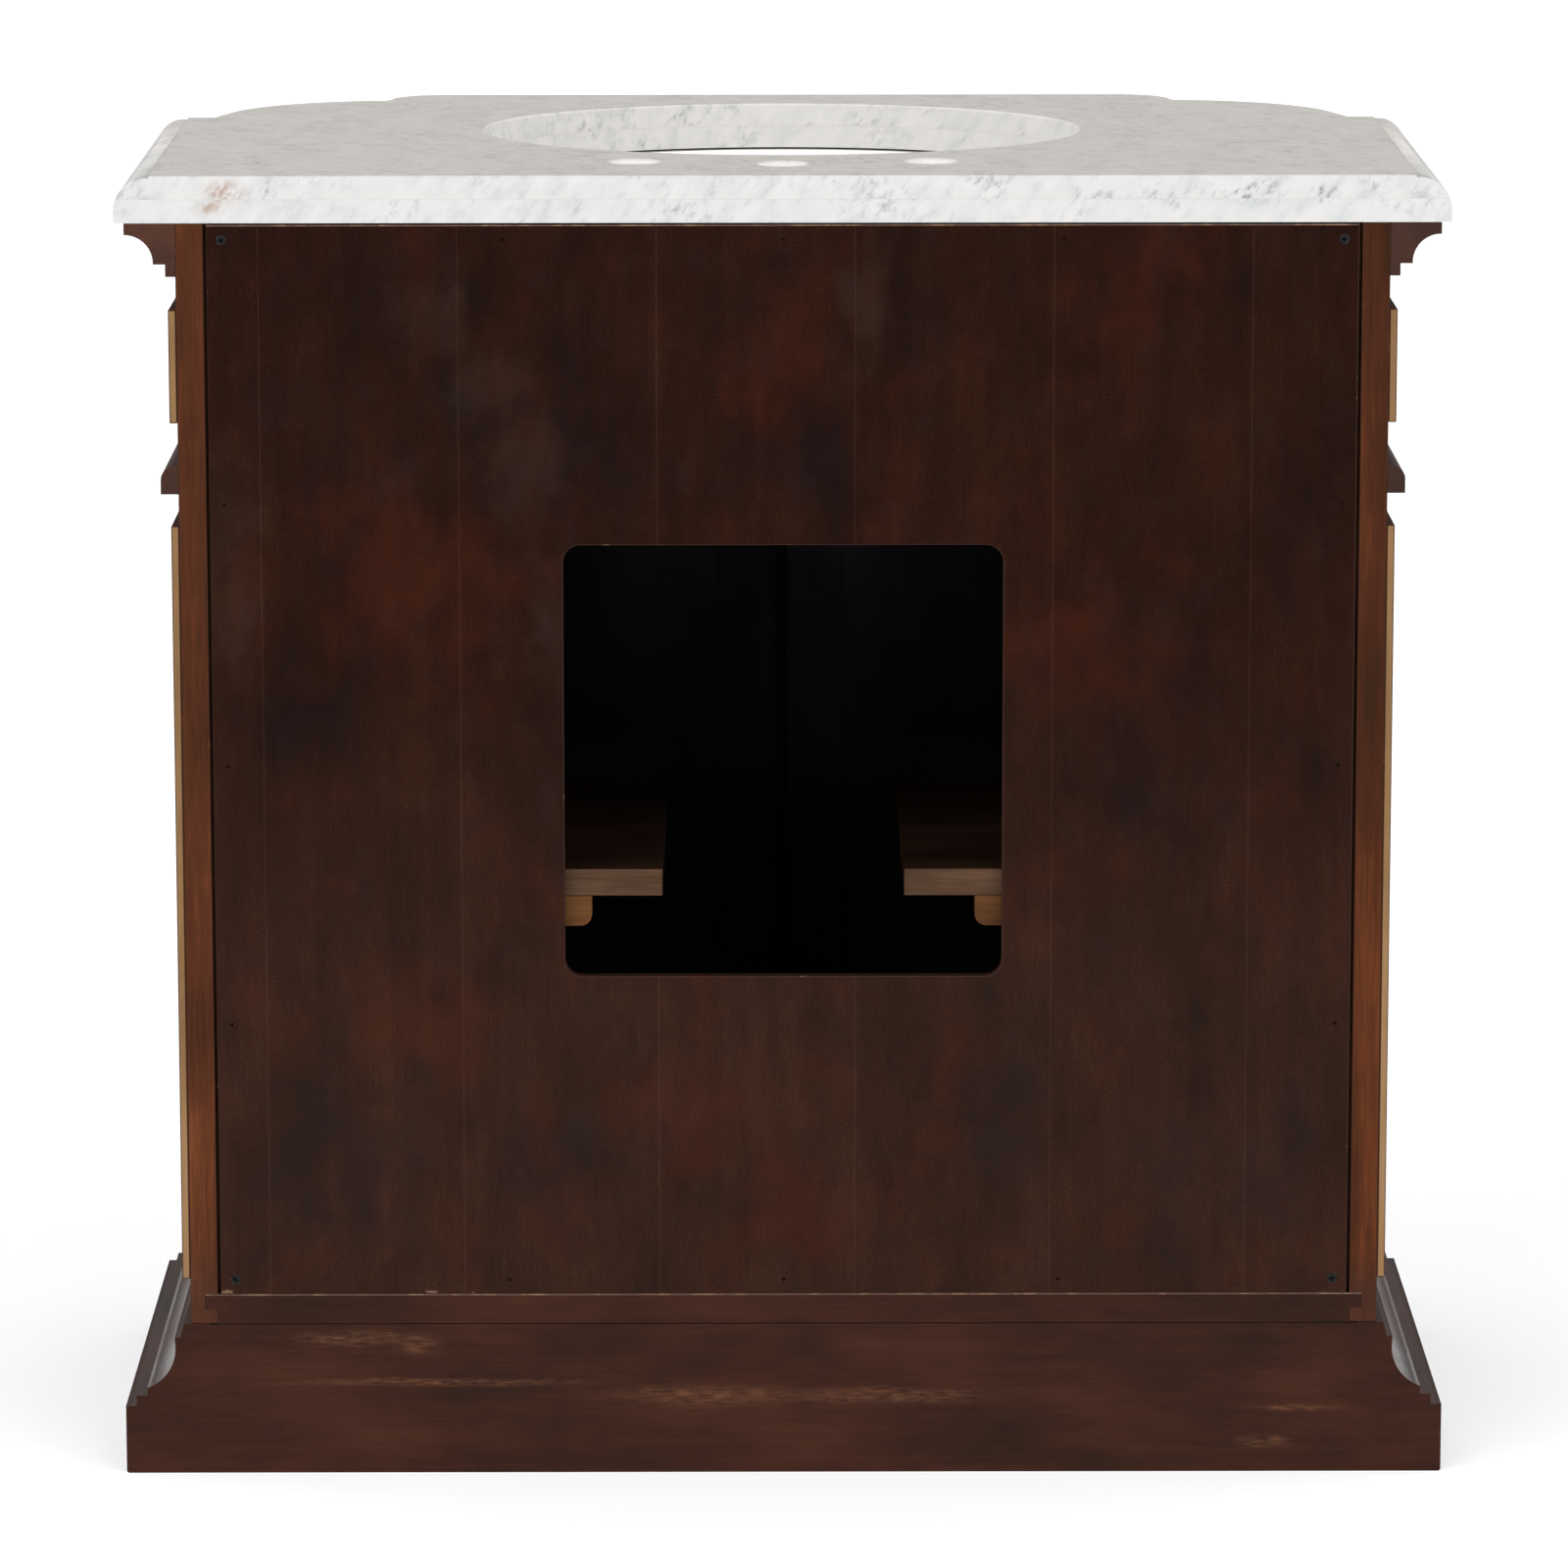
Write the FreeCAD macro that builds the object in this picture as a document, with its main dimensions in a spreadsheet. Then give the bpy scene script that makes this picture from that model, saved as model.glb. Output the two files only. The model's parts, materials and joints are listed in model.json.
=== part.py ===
import FreeCAD, Part
import math
import os
import Sketcher

# Driving dimensions in millimetres. "Depth" is measured from the back plane towards the front,
# "out" from the middle plane to either side, "reach" from the face of the carcass outwards.
SIZES = {
    # carcass in plan: straight sides, a narrow ear, a quarter-round corner, a square-fronted bay
    "carcass_width": 822.0,
    "ear_depth": 368.0,
    "ear_width": 25.6,
    "curve_lead": 18.0,
    "curve_radius": 102.0,
    "curve_set": 15.0,
    "bay_projection": 42.0,
    "bay_corner_radius": 19.0,
    "carcass_top": 873.0,
    # boards of the carcass
    "side_thickness": 19.0,
    "bottom_thickness": 20.7,
    "tongue_thickness": 10.0,
    "tongue_length": 8.5,
    "post_width": 32.0,
    "post_thickness": 30.0,
    "curve_thickness": 18.0,
    "stile_width": 32.0,
    "stile_tuck": 6.0,
    "rail_reveal": 12.0,
    "cleat_size": 20.0,
    "back_rail_height": 40.0,
    # back panel with its plumbing opening and fasteners
    "back_thickness": 9.0,
    "back_recess": 0.8,
    "back_side_gap": 2.0,
    "back_top_gap": 1.4,
    "cutout_width": 300.0,
    "cutout_height": 300.0,
    "cutout_sill": 352.5,
    "cutout_corner": 12.0,
    "fastener_inset": 10.2,
    "screw_head_radius": 3.6,
    "screw_head_depth": 3.0,
    "screw_shank_radius": 1.8,
    "screw_length": 24.0,
    "nail_radius": 1.3,
    "nail_length": 20.0,
    # shelves and their cleats
    "shelf_top": 425.7,
    "shelf_thickness": 18.7,
    "shelf_gap": 166.0,
    "shelf_slack": 1.0,
    "shelf_front_slack": 8.0,
    "shelf_cleat_height": 21.0,
    "shelf_cleat_out": 131.6,
    "shelf_cleat_round": 8.0,
    "shelf_cleat_setback": 12.0,
    # marble top in two layers with a rounded edge
    "slab_thickness": 16.0,
    "top_overhang": 41.5,
    "edge_ease": 2.0,
    "edge_flat": 8.0,
    "edge_lip": 1.5,
    "edge_ledge": 2.0,
    "strip_width": 12.0,
    "hole_ease": 1.2,
    # sink and faucet holes
    "sink_width": 424.0,
    "sink_setback": 130.0,
    "sink_reveal": 3.0,
    "sink_wall": 9.0,
    "bowl_depth": 150.0,
    "flange_reach": 24.0,
    "flange_thickness": 10.0,
    "flange_room": 4.0,
    "drain_radius": 22.0,
    "seal_thickness": 1.5,
    "seal_setback": 6.0,
    "faucet_radius": 17.5,
    "faucet_spread": 203.2,
    "faucet_setback": 89.0,
    "spout_setback": 74.0,
    "clip_width": 18.0,
    "clip_thickness": 3.0,
    "clip_foot": 16.0,
    "clip_offset": 60.0,
    "clip_room": 1.0,
    "clip_bolt_radius": 5.0,
    "clip_bolt_height": 4.0,
    # plinth moulding
    "plinth_under": 13.0,
    "plinth_reach": 46.0,
    "plinth_ease": 2.0,
    "plinth_base_rise": 48.0,
    "plinth_step_reach": 38.5,
    "plinth_step_rise": 7.5,
    "plinth_cove_reach": 31.0,
    "plinth_riser": 5.5,
    "plinth_cove_rise": 33.0,
    "plinth_cove_radius": 30.0,
    "plinth_bead_reach": 11.4,
    "plinth_bead_rise": 3.0,
    "plinth_neck_reach": 7.4,
    "plinth_lip_reach": 5.0,
    "plinth_neck_rise": 10.0,
    "plinth_back_thickness": 22.0,
    # crown moulding
    "crown_fillet_reach": 6.8,
    "crown_fillet_rise": 8.4,
    "crown_step_reach": 15.0,
    "crown_riser": 1.0,
    "crown_cove_radius": 19.0,
    "crown_ledge": 0.5,
    "crown_band_rise": 8.0,
    # waist moulding
    "frieze_height": 129.6,
    "waist_face_rise": 9.5,
    "waist_round_radius": 9.5,
    "waist_ledge": 2.5,
    # applied panels
    "applied_thickness": 5.4,
    "frieze_margin_low": 29.5,
    "frieze_margin_high": 22.6,
    "field_margin_low": 32.0,
    "field_margin_high": 22.0,
    "applied_margin": 28.0,
    # doors
    "door_thickness": 20.0,
    "door_clearance": 2.0,
    "door_gap": 2.5,
    "door_stile_width": 44.0,
    "door_rail_width": 50.0,
    "groove_depth": 7.0,
    "groove_slack": 0.5,
    "panel_thickness": 8.0,
    "field_rise": 5.0,
    "field_bevel": 20.0,
    "field_gap": 3.0,
    # knobs, a little below the middle of the doors
    "knob_drop": 8.4,
    "knob_base_radius": 9.0,
    "knob_base_length": 3.0,
    "knob_neck_radius": 5.5,
    "knob_neck_length": 9.0,
    "knob_head_radius": 14.0,
    "knob_head_length": 14.0,
    "knob_crown_radius": 18.0,
    "knob_tip_radius": 2.0,
    "knob_screw_radius": 2.0,
    "knob_screw_room": 0.1,
    "knob_screw_bite": 10.0,
    "knob_screw_head_radius": 4.5,
    "knob_screw_head_height": 2.4,
    # hinges
    "hinge_height": 50.0,
    "hinge_margin": 85.0,
    "leaf_thickness": 1.4,
    "leaf_gap": 0.4,
    "leaf_back_margin": 2.5,
    "barrel_radius": 3.2,
    "barrel_gap": 0.4,
    "pin_radius": 1.5,
    "pin_clearance": 0.05,
    "pin_head_radius": 2.4,
    "pin_head_height": 2.0,
    # ball catches
    "catch_out": 60.0,
    "catch_radius": 4.0,
    "catch_length": 14.0,
    "ball_radius": 3.0,
    "ball_proud": 1.4,
    # upright strip the doors close against
    "stop_room": 2.0,
    "stop_width": 7.0,
    "stop_thickness": 8.0,
    "stop_overlap": 40.0,
    # how far every cutting shape runs past what it cuts
    "overrun": 5.0,
}

# Shares of the bowl's depth and of its rim size, from the rim down to the flat round the drain
BOWL_DEPTH_SHARES = (0.0, 0.3, 0.6, 0.85, 1.0)
BOWL_SIZE_SHARES = (1.0, 0.965, 0.86, 0.66, 0.4)
# Nails stand at these shares of the way along each edge of the back panel
NAIL_SHARES = (0.25, 0.5, 0.75)
# The middle knuckle of a hinge takes this share of its height
KNUCKLE_SHARE = 0.4

FULL_TURN = 360.0
QUARTER_TURN = 90.0

doc = FreeCAD.newDocument("sink_chest")
sheet = doc.addObject("Spreadsheet::Sheet", "sizes")
for row, (alias, number) in enumerate(SIZES.items(), 1):
    sheet.set(f"A{row}", alias)
    sheet.set(f"B{row}", str(number))
    sheet.setAlias(f"B{row}", alias)
doc.recompute()


class Size:
    """A length: its value now, and the expression that keeps it tied to the sheet."""

    def __init__(self, text, value):
        self.text = text
        self.value = value

    def __add__(self, other):
        return Size(f"({self.text} + {text_of(other)})", self.value + value_of(other))

    def __radd__(self, other):
        return self + other

    def __sub__(self, other):
        return Size(f"({self.text} - {text_of(other)})", self.value - value_of(other))

    def __mul__(self, other):
        return Size(f"({self.text} * {text_of(other)})", self.value * value_of(other))

    def __rmul__(self, other):
        return self * other

    def __truediv__(self, other):
        return Size(f"({self.text} / {text_of(other)})", self.value / value_of(other))

    def __neg__(self):
        return Size(f"(0 - {self.text})", -self.value)


def text_of(term):
    return term.text if isinstance(term, Size) else repr(term)


def value_of(term):
    return term.value if isinstance(term, Size) else term


def root(square):
    return Size(f"sqrt({square.text})", math.sqrt(square.value))


def cell(alias):
    return Size(f"sizes.{alias}", float(sheet.get(alias)))


ZERO = Size("0", 0.0)
s = type("Sheet", (), {alias: cell(alias) for alias in SIZES})

# Plan of the carcass
half = s.carcass_width / 2
side_inner = half - s.side_thickness
curve_out = half - s.ear_width - root(s.curve_radius * s.curve_radius - s.curve_lead * s.curve_lead)
curve_depth = s.ear_depth + s.curve_lead
bay_half = curve_out - s.curve_set
bay_depth = curve_depth + s.curve_radius + s.bay_projection
corner_out = bay_half - s.bay_corner_radius
corner_depth = bay_depth - s.bay_corner_radius
curve_end = curve_depth + root(s.curve_radius * s.curve_radius - s.curve_set * s.curve_set)
curve_inner = s.curve_radius - s.curve_thickness
curve_inner_end = curve_depth + root(curve_inner * curve_inner - s.curve_set * s.curve_set)
stile_back = curve_inner_end - s.stile_tuck
opening_half = bay_half - s.stile_width
rail_thickness = s.door_thickness + s.stop_room
rail_back = bay_depth - rail_thickness
# The middle of the whole depth is the plane y = 0
back = (bay_depth + s.plinth_reach) / 2

# Heights above the floor
plinth_top = (s.plinth_base_rise + s.plinth_step_rise + s.plinth_riser + s.plinth_cove_rise
              + s.plinth_bead_rise + s.plinth_neck_rise)
floor_top = plinth_top + s.bottom_thickness
crown_bottom = (s.carcass_top - s.crown_band_rise - s.crown_cove_radius - s.crown_riser
                - s.crown_fillet_rise)
waist_top = crown_bottom - s.frieze_height
waist_bottom = waist_top - s.waist_round_radius - s.waist_face_rise
rail_bottom = waist_bottom - s.rail_reveal
slab_joint = s.carcass_top + s.slab_thickness
top_face = slab_joint + s.slab_thickness

pieces = {}


def keep(label, item):
    item.Label = label
    pieces[label] = item
    return item


def bind(item, name, length):
    item.setExpression(name, length.text)


def place(item, across, depth, up):
    bind(item, "Placement.Base.x", across)
    bind(item, "Placement.Base.y", back - depth)
    bind(item, "Placement.Base.z", up)


def board(across, depth, up):
    """A square-edged board between two places out, two depths and two heights."""
    item = doc.addObject("Part::Box", "board")
    bind(item, "Length", across[1] - across[0])
    bind(item, "Width", depth[1] - depth[0])
    bind(item, "Height", up[1] - up[0])
    place(item, across[0], depth[1], up[0])
    return item


def rod(across, depth, up, radius, length):
    """An upright cylinder that stands on the given place."""
    item = doc.addObject("Part::Cylinder", "rod")
    bind(item, "Radius", radius)
    bind(item, "Height", length)
    place(item, across, depth, up)
    return item


def lay_forward(item):
    """Turns an upright rod or cone so that it points from its place towards the front."""
    item.Placement.Rotation = FreeCAD.Rotation(FreeCAD.Vector(1, 0, 0), QUARTER_TURN)
    return item


def cone(across, depth, up, first_radius, last_radius, length):
    item = doc.addObject("Part::Cone", "cone")
    bind(item, "Radius1", first_radius)
    bind(item, "Radius2", last_radius)
    bind(item, "Height", length)
    place(item, across, depth, up)
    return item


def cut(base, tools):
    item = doc.addObject("Part::Cut", "cut")
    item.Base = base
    item.Tool = tools[0] if len(tools) == 1 else fuse(tools)
    return item


def fuse(items):
    item = doc.addObject("Part::MultiFuse", "fuse")
    item.Shapes = items
    return item


def group(items):
    item = doc.addObject("Part::Compound", "group")
    item.Links = items
    return item


def mirror(source):
    """The same piece on the other side of the middle plane."""
    item = doc.addObject("Part::Mirroring", "mirror")
    item.Source = source
    item.Normal = FreeCAD.Vector(1, 0, 0)
    return item


def keep_pair(name, item):
    """Keeps a piece made for the right-hand side, and its twin on the left."""
    keep(name.format("right"), item)
    keep(name.format("left"), mirror(item))


def keep_both(label, item):
    """Keeps a piece and its mirror image as one node of separate solids."""
    keep(label, group([item, mirror(item)]))


def new_body():
    return doc.addObject("PartDesign::Body", "body")


def arc_between(begin, finish, radius, turn):
    """The short arc from one point to the other, turning left (1) or right (-1) on the way."""
    chord = finish - begin
    rise = math.sqrt(max(radius * radius - chord.Length * chord.Length / 4, 0))
    left = FreeCAD.Vector(-chord.y, chord.x, 0).normalize()
    centre = (begin + finish) * 0.5 + left * (rise * turn)
    first, last = (begin, finish) if turn > 0 else (finish, begin)
    start = math.atan2(first.y - centre.y, first.x - centre.x)
    stop = math.atan2(last.y - centre.y, last.x - centre.x)
    if stop < start:
        stop += 2 * math.pi
    return Part.ArcOfCircle(Part.Circle(centre, FreeCAD.Vector(0, 0, 1), radius), start, stop)


def add_outline(sketch, corners):
    """A closed outline. A corner is (across, up), or (across, up, radius, turn) where an arc ends."""
    ends = []
    for index, corner in enumerate(corners):
        target = corners[(index + 1) % len(corners)]
        begin = FreeCAD.Vector(corner[0].value, corner[1].value, 0)
        finish = FreeCAD.Vector(target[0].value, target[1].value, 0)
        if len(target) == 2:
            edge = sketch.addGeometry(Part.LineSegment(begin, finish), False)
            ends.append((edge, 1, 2))
            continue
        radius, turn = target[2], target[3]
        edge = sketch.addGeometry(arc_between(begin, finish, radius.value, turn), False)
        ends.append((edge, 1, 2) if turn > 0 else (edge, 2, 1))
        tie(sketch, Sketcher.Constraint("Radius", edge, radius.value), radius)
    for index, corner in enumerate(corners):
        before = ends[index - 1]
        after = ends[index]
        sketch.addConstraint(Sketcher.Constraint("Coincident", before[0], before[2], after[0], after[1]))
        for axis, place_on_axis in (("DistanceX", corner[0]), ("DistanceY", corner[1])):
            rule = Sketcher.Constraint(axis, -1, 1, after[0], after[1], place_on_axis.value)
            tie(sketch, rule, place_on_axis)


def tie(sketch, rule, length):
    index = sketch.addConstraint(rule)
    sketch.setExpression(f"Constraints[{index}]", length.text)


def draw(body, role, outlines, shift=(ZERO, ZERO, ZERO)):
    """Closed outlines on a plane of the body; shift moves the sketch along its own axes."""
    sketch = body.newObject("Sketcher::SketchObject", "sketch")
    plane = next(item for item in body.Origin.OriginFeatures if item.Role == role)
    sketch.AttachmentSupport = (plane, [""])
    sketch.MapMode = "FlatFace"
    for axis, length in zip("xyz", shift):
        bind(sketch, f"AttachmentOffset.Base.{axis}", length)
    for corners in outlines:
        add_outline(sketch, corners)
    doc.recompute()
    return sketch


def pad(body, sketch, length, side="One side"):
    feature = body.newObject("PartDesign::Pad", "pad")
    feature.Profile = sketch
    feature.SideType = side
    bind(feature, "Length", length)
    doc.recompute()
    return feature


def pocket(body, sketch):
    """A cut right through, both ways from the sketch."""
    feature = body.newObject("PartDesign::Pocket", "pocket")
    feature.Profile = sketch
    feature.Type = "ThroughAll"
    feature.SideType = "Symmetric"
    doc.recompute()


def revolve(body, sketch, kind="PartDesign::Revolution", angle=FULL_TURN, backwards=False, axis="V_Axis"):
    feature = body.newObject(kind, "turned")
    feature.Profile = sketch
    feature.ReferenceAxis = (sketch, [axis])
    feature.Angle = angle
    feature.Reversed = backwards
    doc.recompute()


def rightwards(profile, base):
    """A profile of (reach, height) corners that looks to the right from a face at base."""
    return [(base + corner[0],) + tuple(corner[1:]) for corner in profile]


def leftwards(profile, base):
    """The same profile looking to the left, from a face as far out on that side."""
    return [(-(base + corner[0]), corner[1]) + flipped(corner) for corner in profile]


def flipped(corner):
    """The bend of a corner seen from the other side of the page."""
    return (corner[2], -corner[3]) if len(corner) > 2 else ()


def forwards(profile, depth):
    """The same profile looking to the front, from a face at the given depth."""
    return [(back - depth - corner[0], corner[1]) + flipped(corner) for corner in profile]


def return_leg(edge):
    """An edge read from its top down, on the opposite side."""
    leg = []
    for index in range(len(edge) - 1, -1, -1):
        above = edge[index + 1] if index + 1 < len(edge) else ()
        leg.append((-edge[index][0], edge[index][1]) + tuple(above[2:]))
    return leg


def on_depth(depth, across=ZERO):
    """Shift for a sketch on the XZ plane: its origin at this place out and at this depth."""
    return (across, ZERO, depth - back)


def on_out(out):
    """Shift for a sketch on the YZ plane: at this place out."""
    return (ZERO, ZERO, out)


# Mouldings
def side_moulding(profile, reach, under):
    """A straight length along the right-hand side, mitred at the ear."""
    body = new_body()
    section = draw(body, "XZ_Plane", [rightwards(profile, half)], on_depth(ZERO))
    pad(body, section, s.ear_depth + reach)
    inner = under + s.overrun
    outer = reach + s.overrun
    mitre = [
        (half - inner, back - s.ear_depth + inner),
        (half + outer, back - s.ear_depth - outer),
        (half - inner, back - s.ear_depth - outer),
    ]
    pocket(body, draw(body, "XY_Plane", [mitre]))
    return body


def curve_moulding(profile, reach, under):
    """The ear return and the quarter-round, from the mitre to the side of the bay."""
    body = new_body()
    start = curve_out + s.curve_radius - under
    section = draw(body, "YZ_Plane", [forwards(profile, s.ear_depth)], on_out(start))
    pad(body, section, half + reach - start)
    ring = draw(body, "XZ_Plane", [leftwards(profile, s.curve_radius)], on_depth(curve_depth, curve_out))
    revolve(body, ring)
    outer = reach + s.overrun
    front = back - bay_depth - outer
    wanted = [
        (half - under, back - s.ear_depth + under),
        (half + outer, back - s.ear_depth - outer),
        (half + outer, front),
        (bay_half - under, front),
        (bay_half - under, back - s.ear_depth + under),
    ]
    far = half + outer + s.overrun
    frame = [
        (-far, back + s.overrun),
        (-far, front - s.overrun),
        (far, front - s.overrun),
        (far, back + s.overrun),
    ]
    pocket(body, draw(body, "XY_Plane", [frame, wanted]))
    return body


def bay_moulding(profile, core):
    """The front length with its rounded corners and short returns, coped to the curved lengths."""
    body = new_body()
    section = draw(body, "YZ_Plane", [forwards(profile, bay_depth)])
    pad(body, section, corner_out * 2, "Symmetric")
    corner = [(core, profile[0][1])] + rightwards(profile, s.bay_corner_radius)[1:-1]
    corner.append((core, profile[-1][1]))
    right = draw(body, "XZ_Plane", [corner], on_depth(corner_depth, corner_out))
    revolve(body, right, angle=QUARTER_TURN, backwards=True)
    left = draw(body, "XZ_Plane", [leftwards(corner, ZERO)], on_depth(corner_depth, -corner_out))
    revolve(body, left, angle=QUARTER_TURN)
    for outline in (rightwards(profile, bay_half), leftwards(profile, bay_half)):
        pad(body, draw(body, "XZ_Plane", [outline], on_depth(curve_end)), corner_depth - curve_end)
    disc = [(ZERO, profile[0][1])] + rightwards(profile, s.curve_radius)[1:-1]
    disc.append((ZERO, profile[-1][1]))
    for out in (curve_out, -curve_out):
        cope = draw(body, "XZ_Plane", [disc], on_depth(curve_depth, out))
        revolve(body, cope, kind="PartDesign::Groove")
    return body


def run_moulding(name, profile, reach, under, core):
    side, curve, front = name
    keep_pair(side, side_moulding(profile, reach, under))
    keep_pair(curve, curve_moulding(profile, reach, under))
    keep(front, bay_moulding(profile, core))


def plinth_profile():
    step = s.plinth_base_rise
    ledge = step + s.plinth_step_rise
    cove = ledge + s.plinth_riser
    bead = cove + s.plinth_cove_rise
    neck = bead + s.plinth_bead_rise
    return [
        (-s.plinth_under, ZERO),
        (s.plinth_reach - s.plinth_ease, ZERO),
        (s.plinth_reach, s.plinth_ease, s.plinth_ease, 1),
        (s.plinth_reach, step),
        (s.plinth_step_reach, step),
        (s.plinth_step_reach, ledge),
        (s.plinth_cove_reach, ledge),
        (s.plinth_cove_reach, cove),
        (s.plinth_bead_reach, bead, s.plinth_cove_radius, -1),
        (s.plinth_bead_reach, neck),
        (s.plinth_neck_reach, neck),
        (s.plinth_lip_reach, plinth_top),
        (-s.plinth_under, plinth_top),
    ]


def crown_profile():
    fillet = crown_bottom + s.crown_fillet_rise
    cove = fillet + s.crown_riser
    band = cove + s.crown_cove_radius
    cove_reach = s.crown_step_reach + s.crown_cove_radius
    band_reach = cove_reach + s.crown_ledge
    return [
        (ZERO, crown_bottom),
        (s.crown_fillet_reach, crown_bottom),
        (s.crown_fillet_reach, fillet),
        (s.crown_step_reach, fillet),
        (s.crown_step_reach, cove),
        (cove_reach, band, s.crown_cove_radius, -1),
        (band_reach, band),
        (band_reach, s.carcass_top),
        (ZERO, s.carcass_top),
    ]


def waist_profile():
    face = waist_bottom + s.waist_face_rise
    reach = s.waist_ledge + s.waist_round_radius
    return [
        (ZERO, waist_bottom),
        (reach, waist_bottom),
        (reach, face),
        (s.waist_ledge, waist_top, s.waist_round_radius, 1),
        (ZERO, waist_top),
    ]


run_moulding(("plinth_{}_board", "plinth_{}_curve", "plinth_front_board"),
             plinth_profile(), s.plinth_reach, s.plinth_under, ZERO)
run_moulding(("crown_{}", "crown_{}_curve", "crown_front"),
             crown_profile(), s.crown_step_reach + s.crown_cove_radius + s.crown_ledge, ZERO,
             s.bay_corner_radius)
run_moulding(("waist_{}", "waist_{}_curve", "waist_front"),
             waist_profile(), s.waist_ledge + s.waist_round_radius, ZERO, s.bay_corner_radius)
plinth_inner = half - s.plinth_under
keep("plinth_back_board", board((-plinth_inner, plinth_inner), (ZERO, s.plinth_back_thickness),
                                (ZERO, plinth_top)))


# Carcass
tongue_bottom = floor_top - s.tongue_thickness
tongue_end = side_inner + s.tongue_length
post_inner = side_inner - s.post_width
post_back = s.ear_depth - s.post_thickness
back_face = s.back_recess + s.back_thickness
cleat_front = back_face + s.cleat_size
cleat_inner = side_inner - s.cleat_size


def side_panel():
    """A plank with a stopped groove for the bottom panel's tongue, open only at the back."""
    plank = board((side_inner, half), (ZERO, s.ear_depth), (plinth_top, s.carcass_top))
    dado = board((side_inner - s.overrun, tongue_end), (-s.overrun, post_back), (tongue_bottom, floor_top))
    return cut(plank, [dado])


def bottom_panel():
    """One panel that reaches into the bay, with a tongue along each side."""
    body = new_body()
    right = [
        (side_inner, back),
        (side_inner, back - post_back),
        (post_inner, back - post_back),
        (post_inner, back - s.ear_depth),
        (curve_out + root(curve_inner * curve_inner - s.curve_lead * s.curve_lead), back - s.ear_depth),
        (bay_half, back - curve_inner_end, curve_inner, -1),
        (bay_half, back - stile_back),
        (opening_half, back - stile_back),
        (opening_half, back - bay_depth),
    ]
    plan = draw(body, "XY_Plane", [right + return_leg(right)], (ZERO, ZERO, plinth_top))
    pad(body, plan, s.bottom_thickness)
    tongue = board((-tongue_end, tongue_end), (ZERO, post_back), (tongue_bottom, floor_top))
    return fuse([body, tongue])


def curved_panel():
    """A bent quarter-round panel between the corner post and the front stile."""
    body = new_body()
    wall = [
        (curve_inner, plinth_top),
        (s.curve_radius, plinth_top),
        (s.curve_radius, s.carcass_top),
        (curve_inner, s.carcass_top),
    ]
    revolve(body, draw(body, "XZ_Plane", [wall], on_depth(curve_depth, curve_out)))
    far = half + s.curve_radius
    front = back - bay_depth - s.overrun
    wanted = [
        (bay_half, back - s.ear_depth),
        (bay_half, front),
        (far, front),
        (far, back - s.ear_depth),
    ]
    frame = [
        (-far, back + s.overrun),
        (-far, front - s.overrun),
        (far + s.overrun, front - s.overrun),
        (far + s.overrun, back + s.overrun),
    ]
    pocket(body, draw(body, "XY_Plane", [frame, wanted]))
    return body


def front_stile():
    """A post at the bay's corner, rounded at its outer edge."""
    body = new_body()
    plan = [
        (opening_half, back - stile_back),
        (opening_half, back - bay_depth),
        (corner_out, back - bay_depth),
        (bay_half, back - corner_depth, s.bay_corner_radius, 1),
        (bay_half, back - stile_back),
    ]
    pad(body, draw(body, "XY_Plane", [plan], (ZERO, ZERO, plinth_top)), s.carcass_top - plinth_top)
    return body


keep_pair("{}_side_panel", side_panel())
keep("bottom_panel", bottom_panel())
keep_both("corner_posts", board((post_inner, side_inner), (post_back, s.ear_depth),
                                (plinth_top, s.carcass_top)))
keep_pair("{}_curved_panel", curved_panel())
keep_pair("{}_front_stile", front_stile())


# Applied panels on the outside
def applied_panels():
    face = (half, half + s.applied_thickness)
    length = (ZERO, s.ear_depth - s.applied_margin)
    frieze = (waist_top + s.frieze_margin_low, crown_bottom - s.frieze_margin_high)
    field = (plinth_top + s.field_margin_low, waist_bottom - s.field_margin_high)
    keep_pair("{}_frieze_panel", board(face, length, frieze))
    keep_pair("{}_field_panel", board(face, length, field))
    out = opening_half - s.applied_margin
    keep("front_frieze_panel", board((-out, out), (bay_depth, bay_depth + s.applied_thickness), frieze))


applied_panels()


# Back panel, the cleats behind it and its fasteners
back_half = side_inner - s.back_side_gap
back_top = s.carcass_top - s.back_top_gap
fastener_out = back_half - s.fastener_inset
fastener_low = floor_top + s.fastener_inset
fastener_high = back_top - s.fastener_inset


def back_screw(across, up):
    """A countersunk wood screw, driven forwards with its head flush."""
    head = cone(across, s.back_recess, up, s.screw_head_radius, s.screw_shank_radius, s.screw_head_depth)
    shank = rod(across, s.back_recess, up, s.screw_shank_radius, s.screw_length)
    return fuse([lay_forward(head), lay_forward(shank)])


def back_nail(across, up):
    return lay_forward(rod(across, s.back_recess, up, s.nail_radius, s.nail_length))


def back_fasteners():
    screws = []
    for across in (-fastener_out, fastener_out):
        for up in (fastener_low, fastener_high):
            screws.append(back_screw(across, up))
    nails = []
    for share in NAIL_SHARES:
        up = fastener_low + (fastener_high - fastener_low) * share
        nails.append(back_nail(-fastener_out, up))
        nails.append(back_nail(fastener_out, up))
        across = fastener_out * (2 * share - 1)
        nails.append(back_nail(across, fastener_low))
        nails.append(back_nail(across, fastener_high))
    return group(screws), group(nails)


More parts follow.
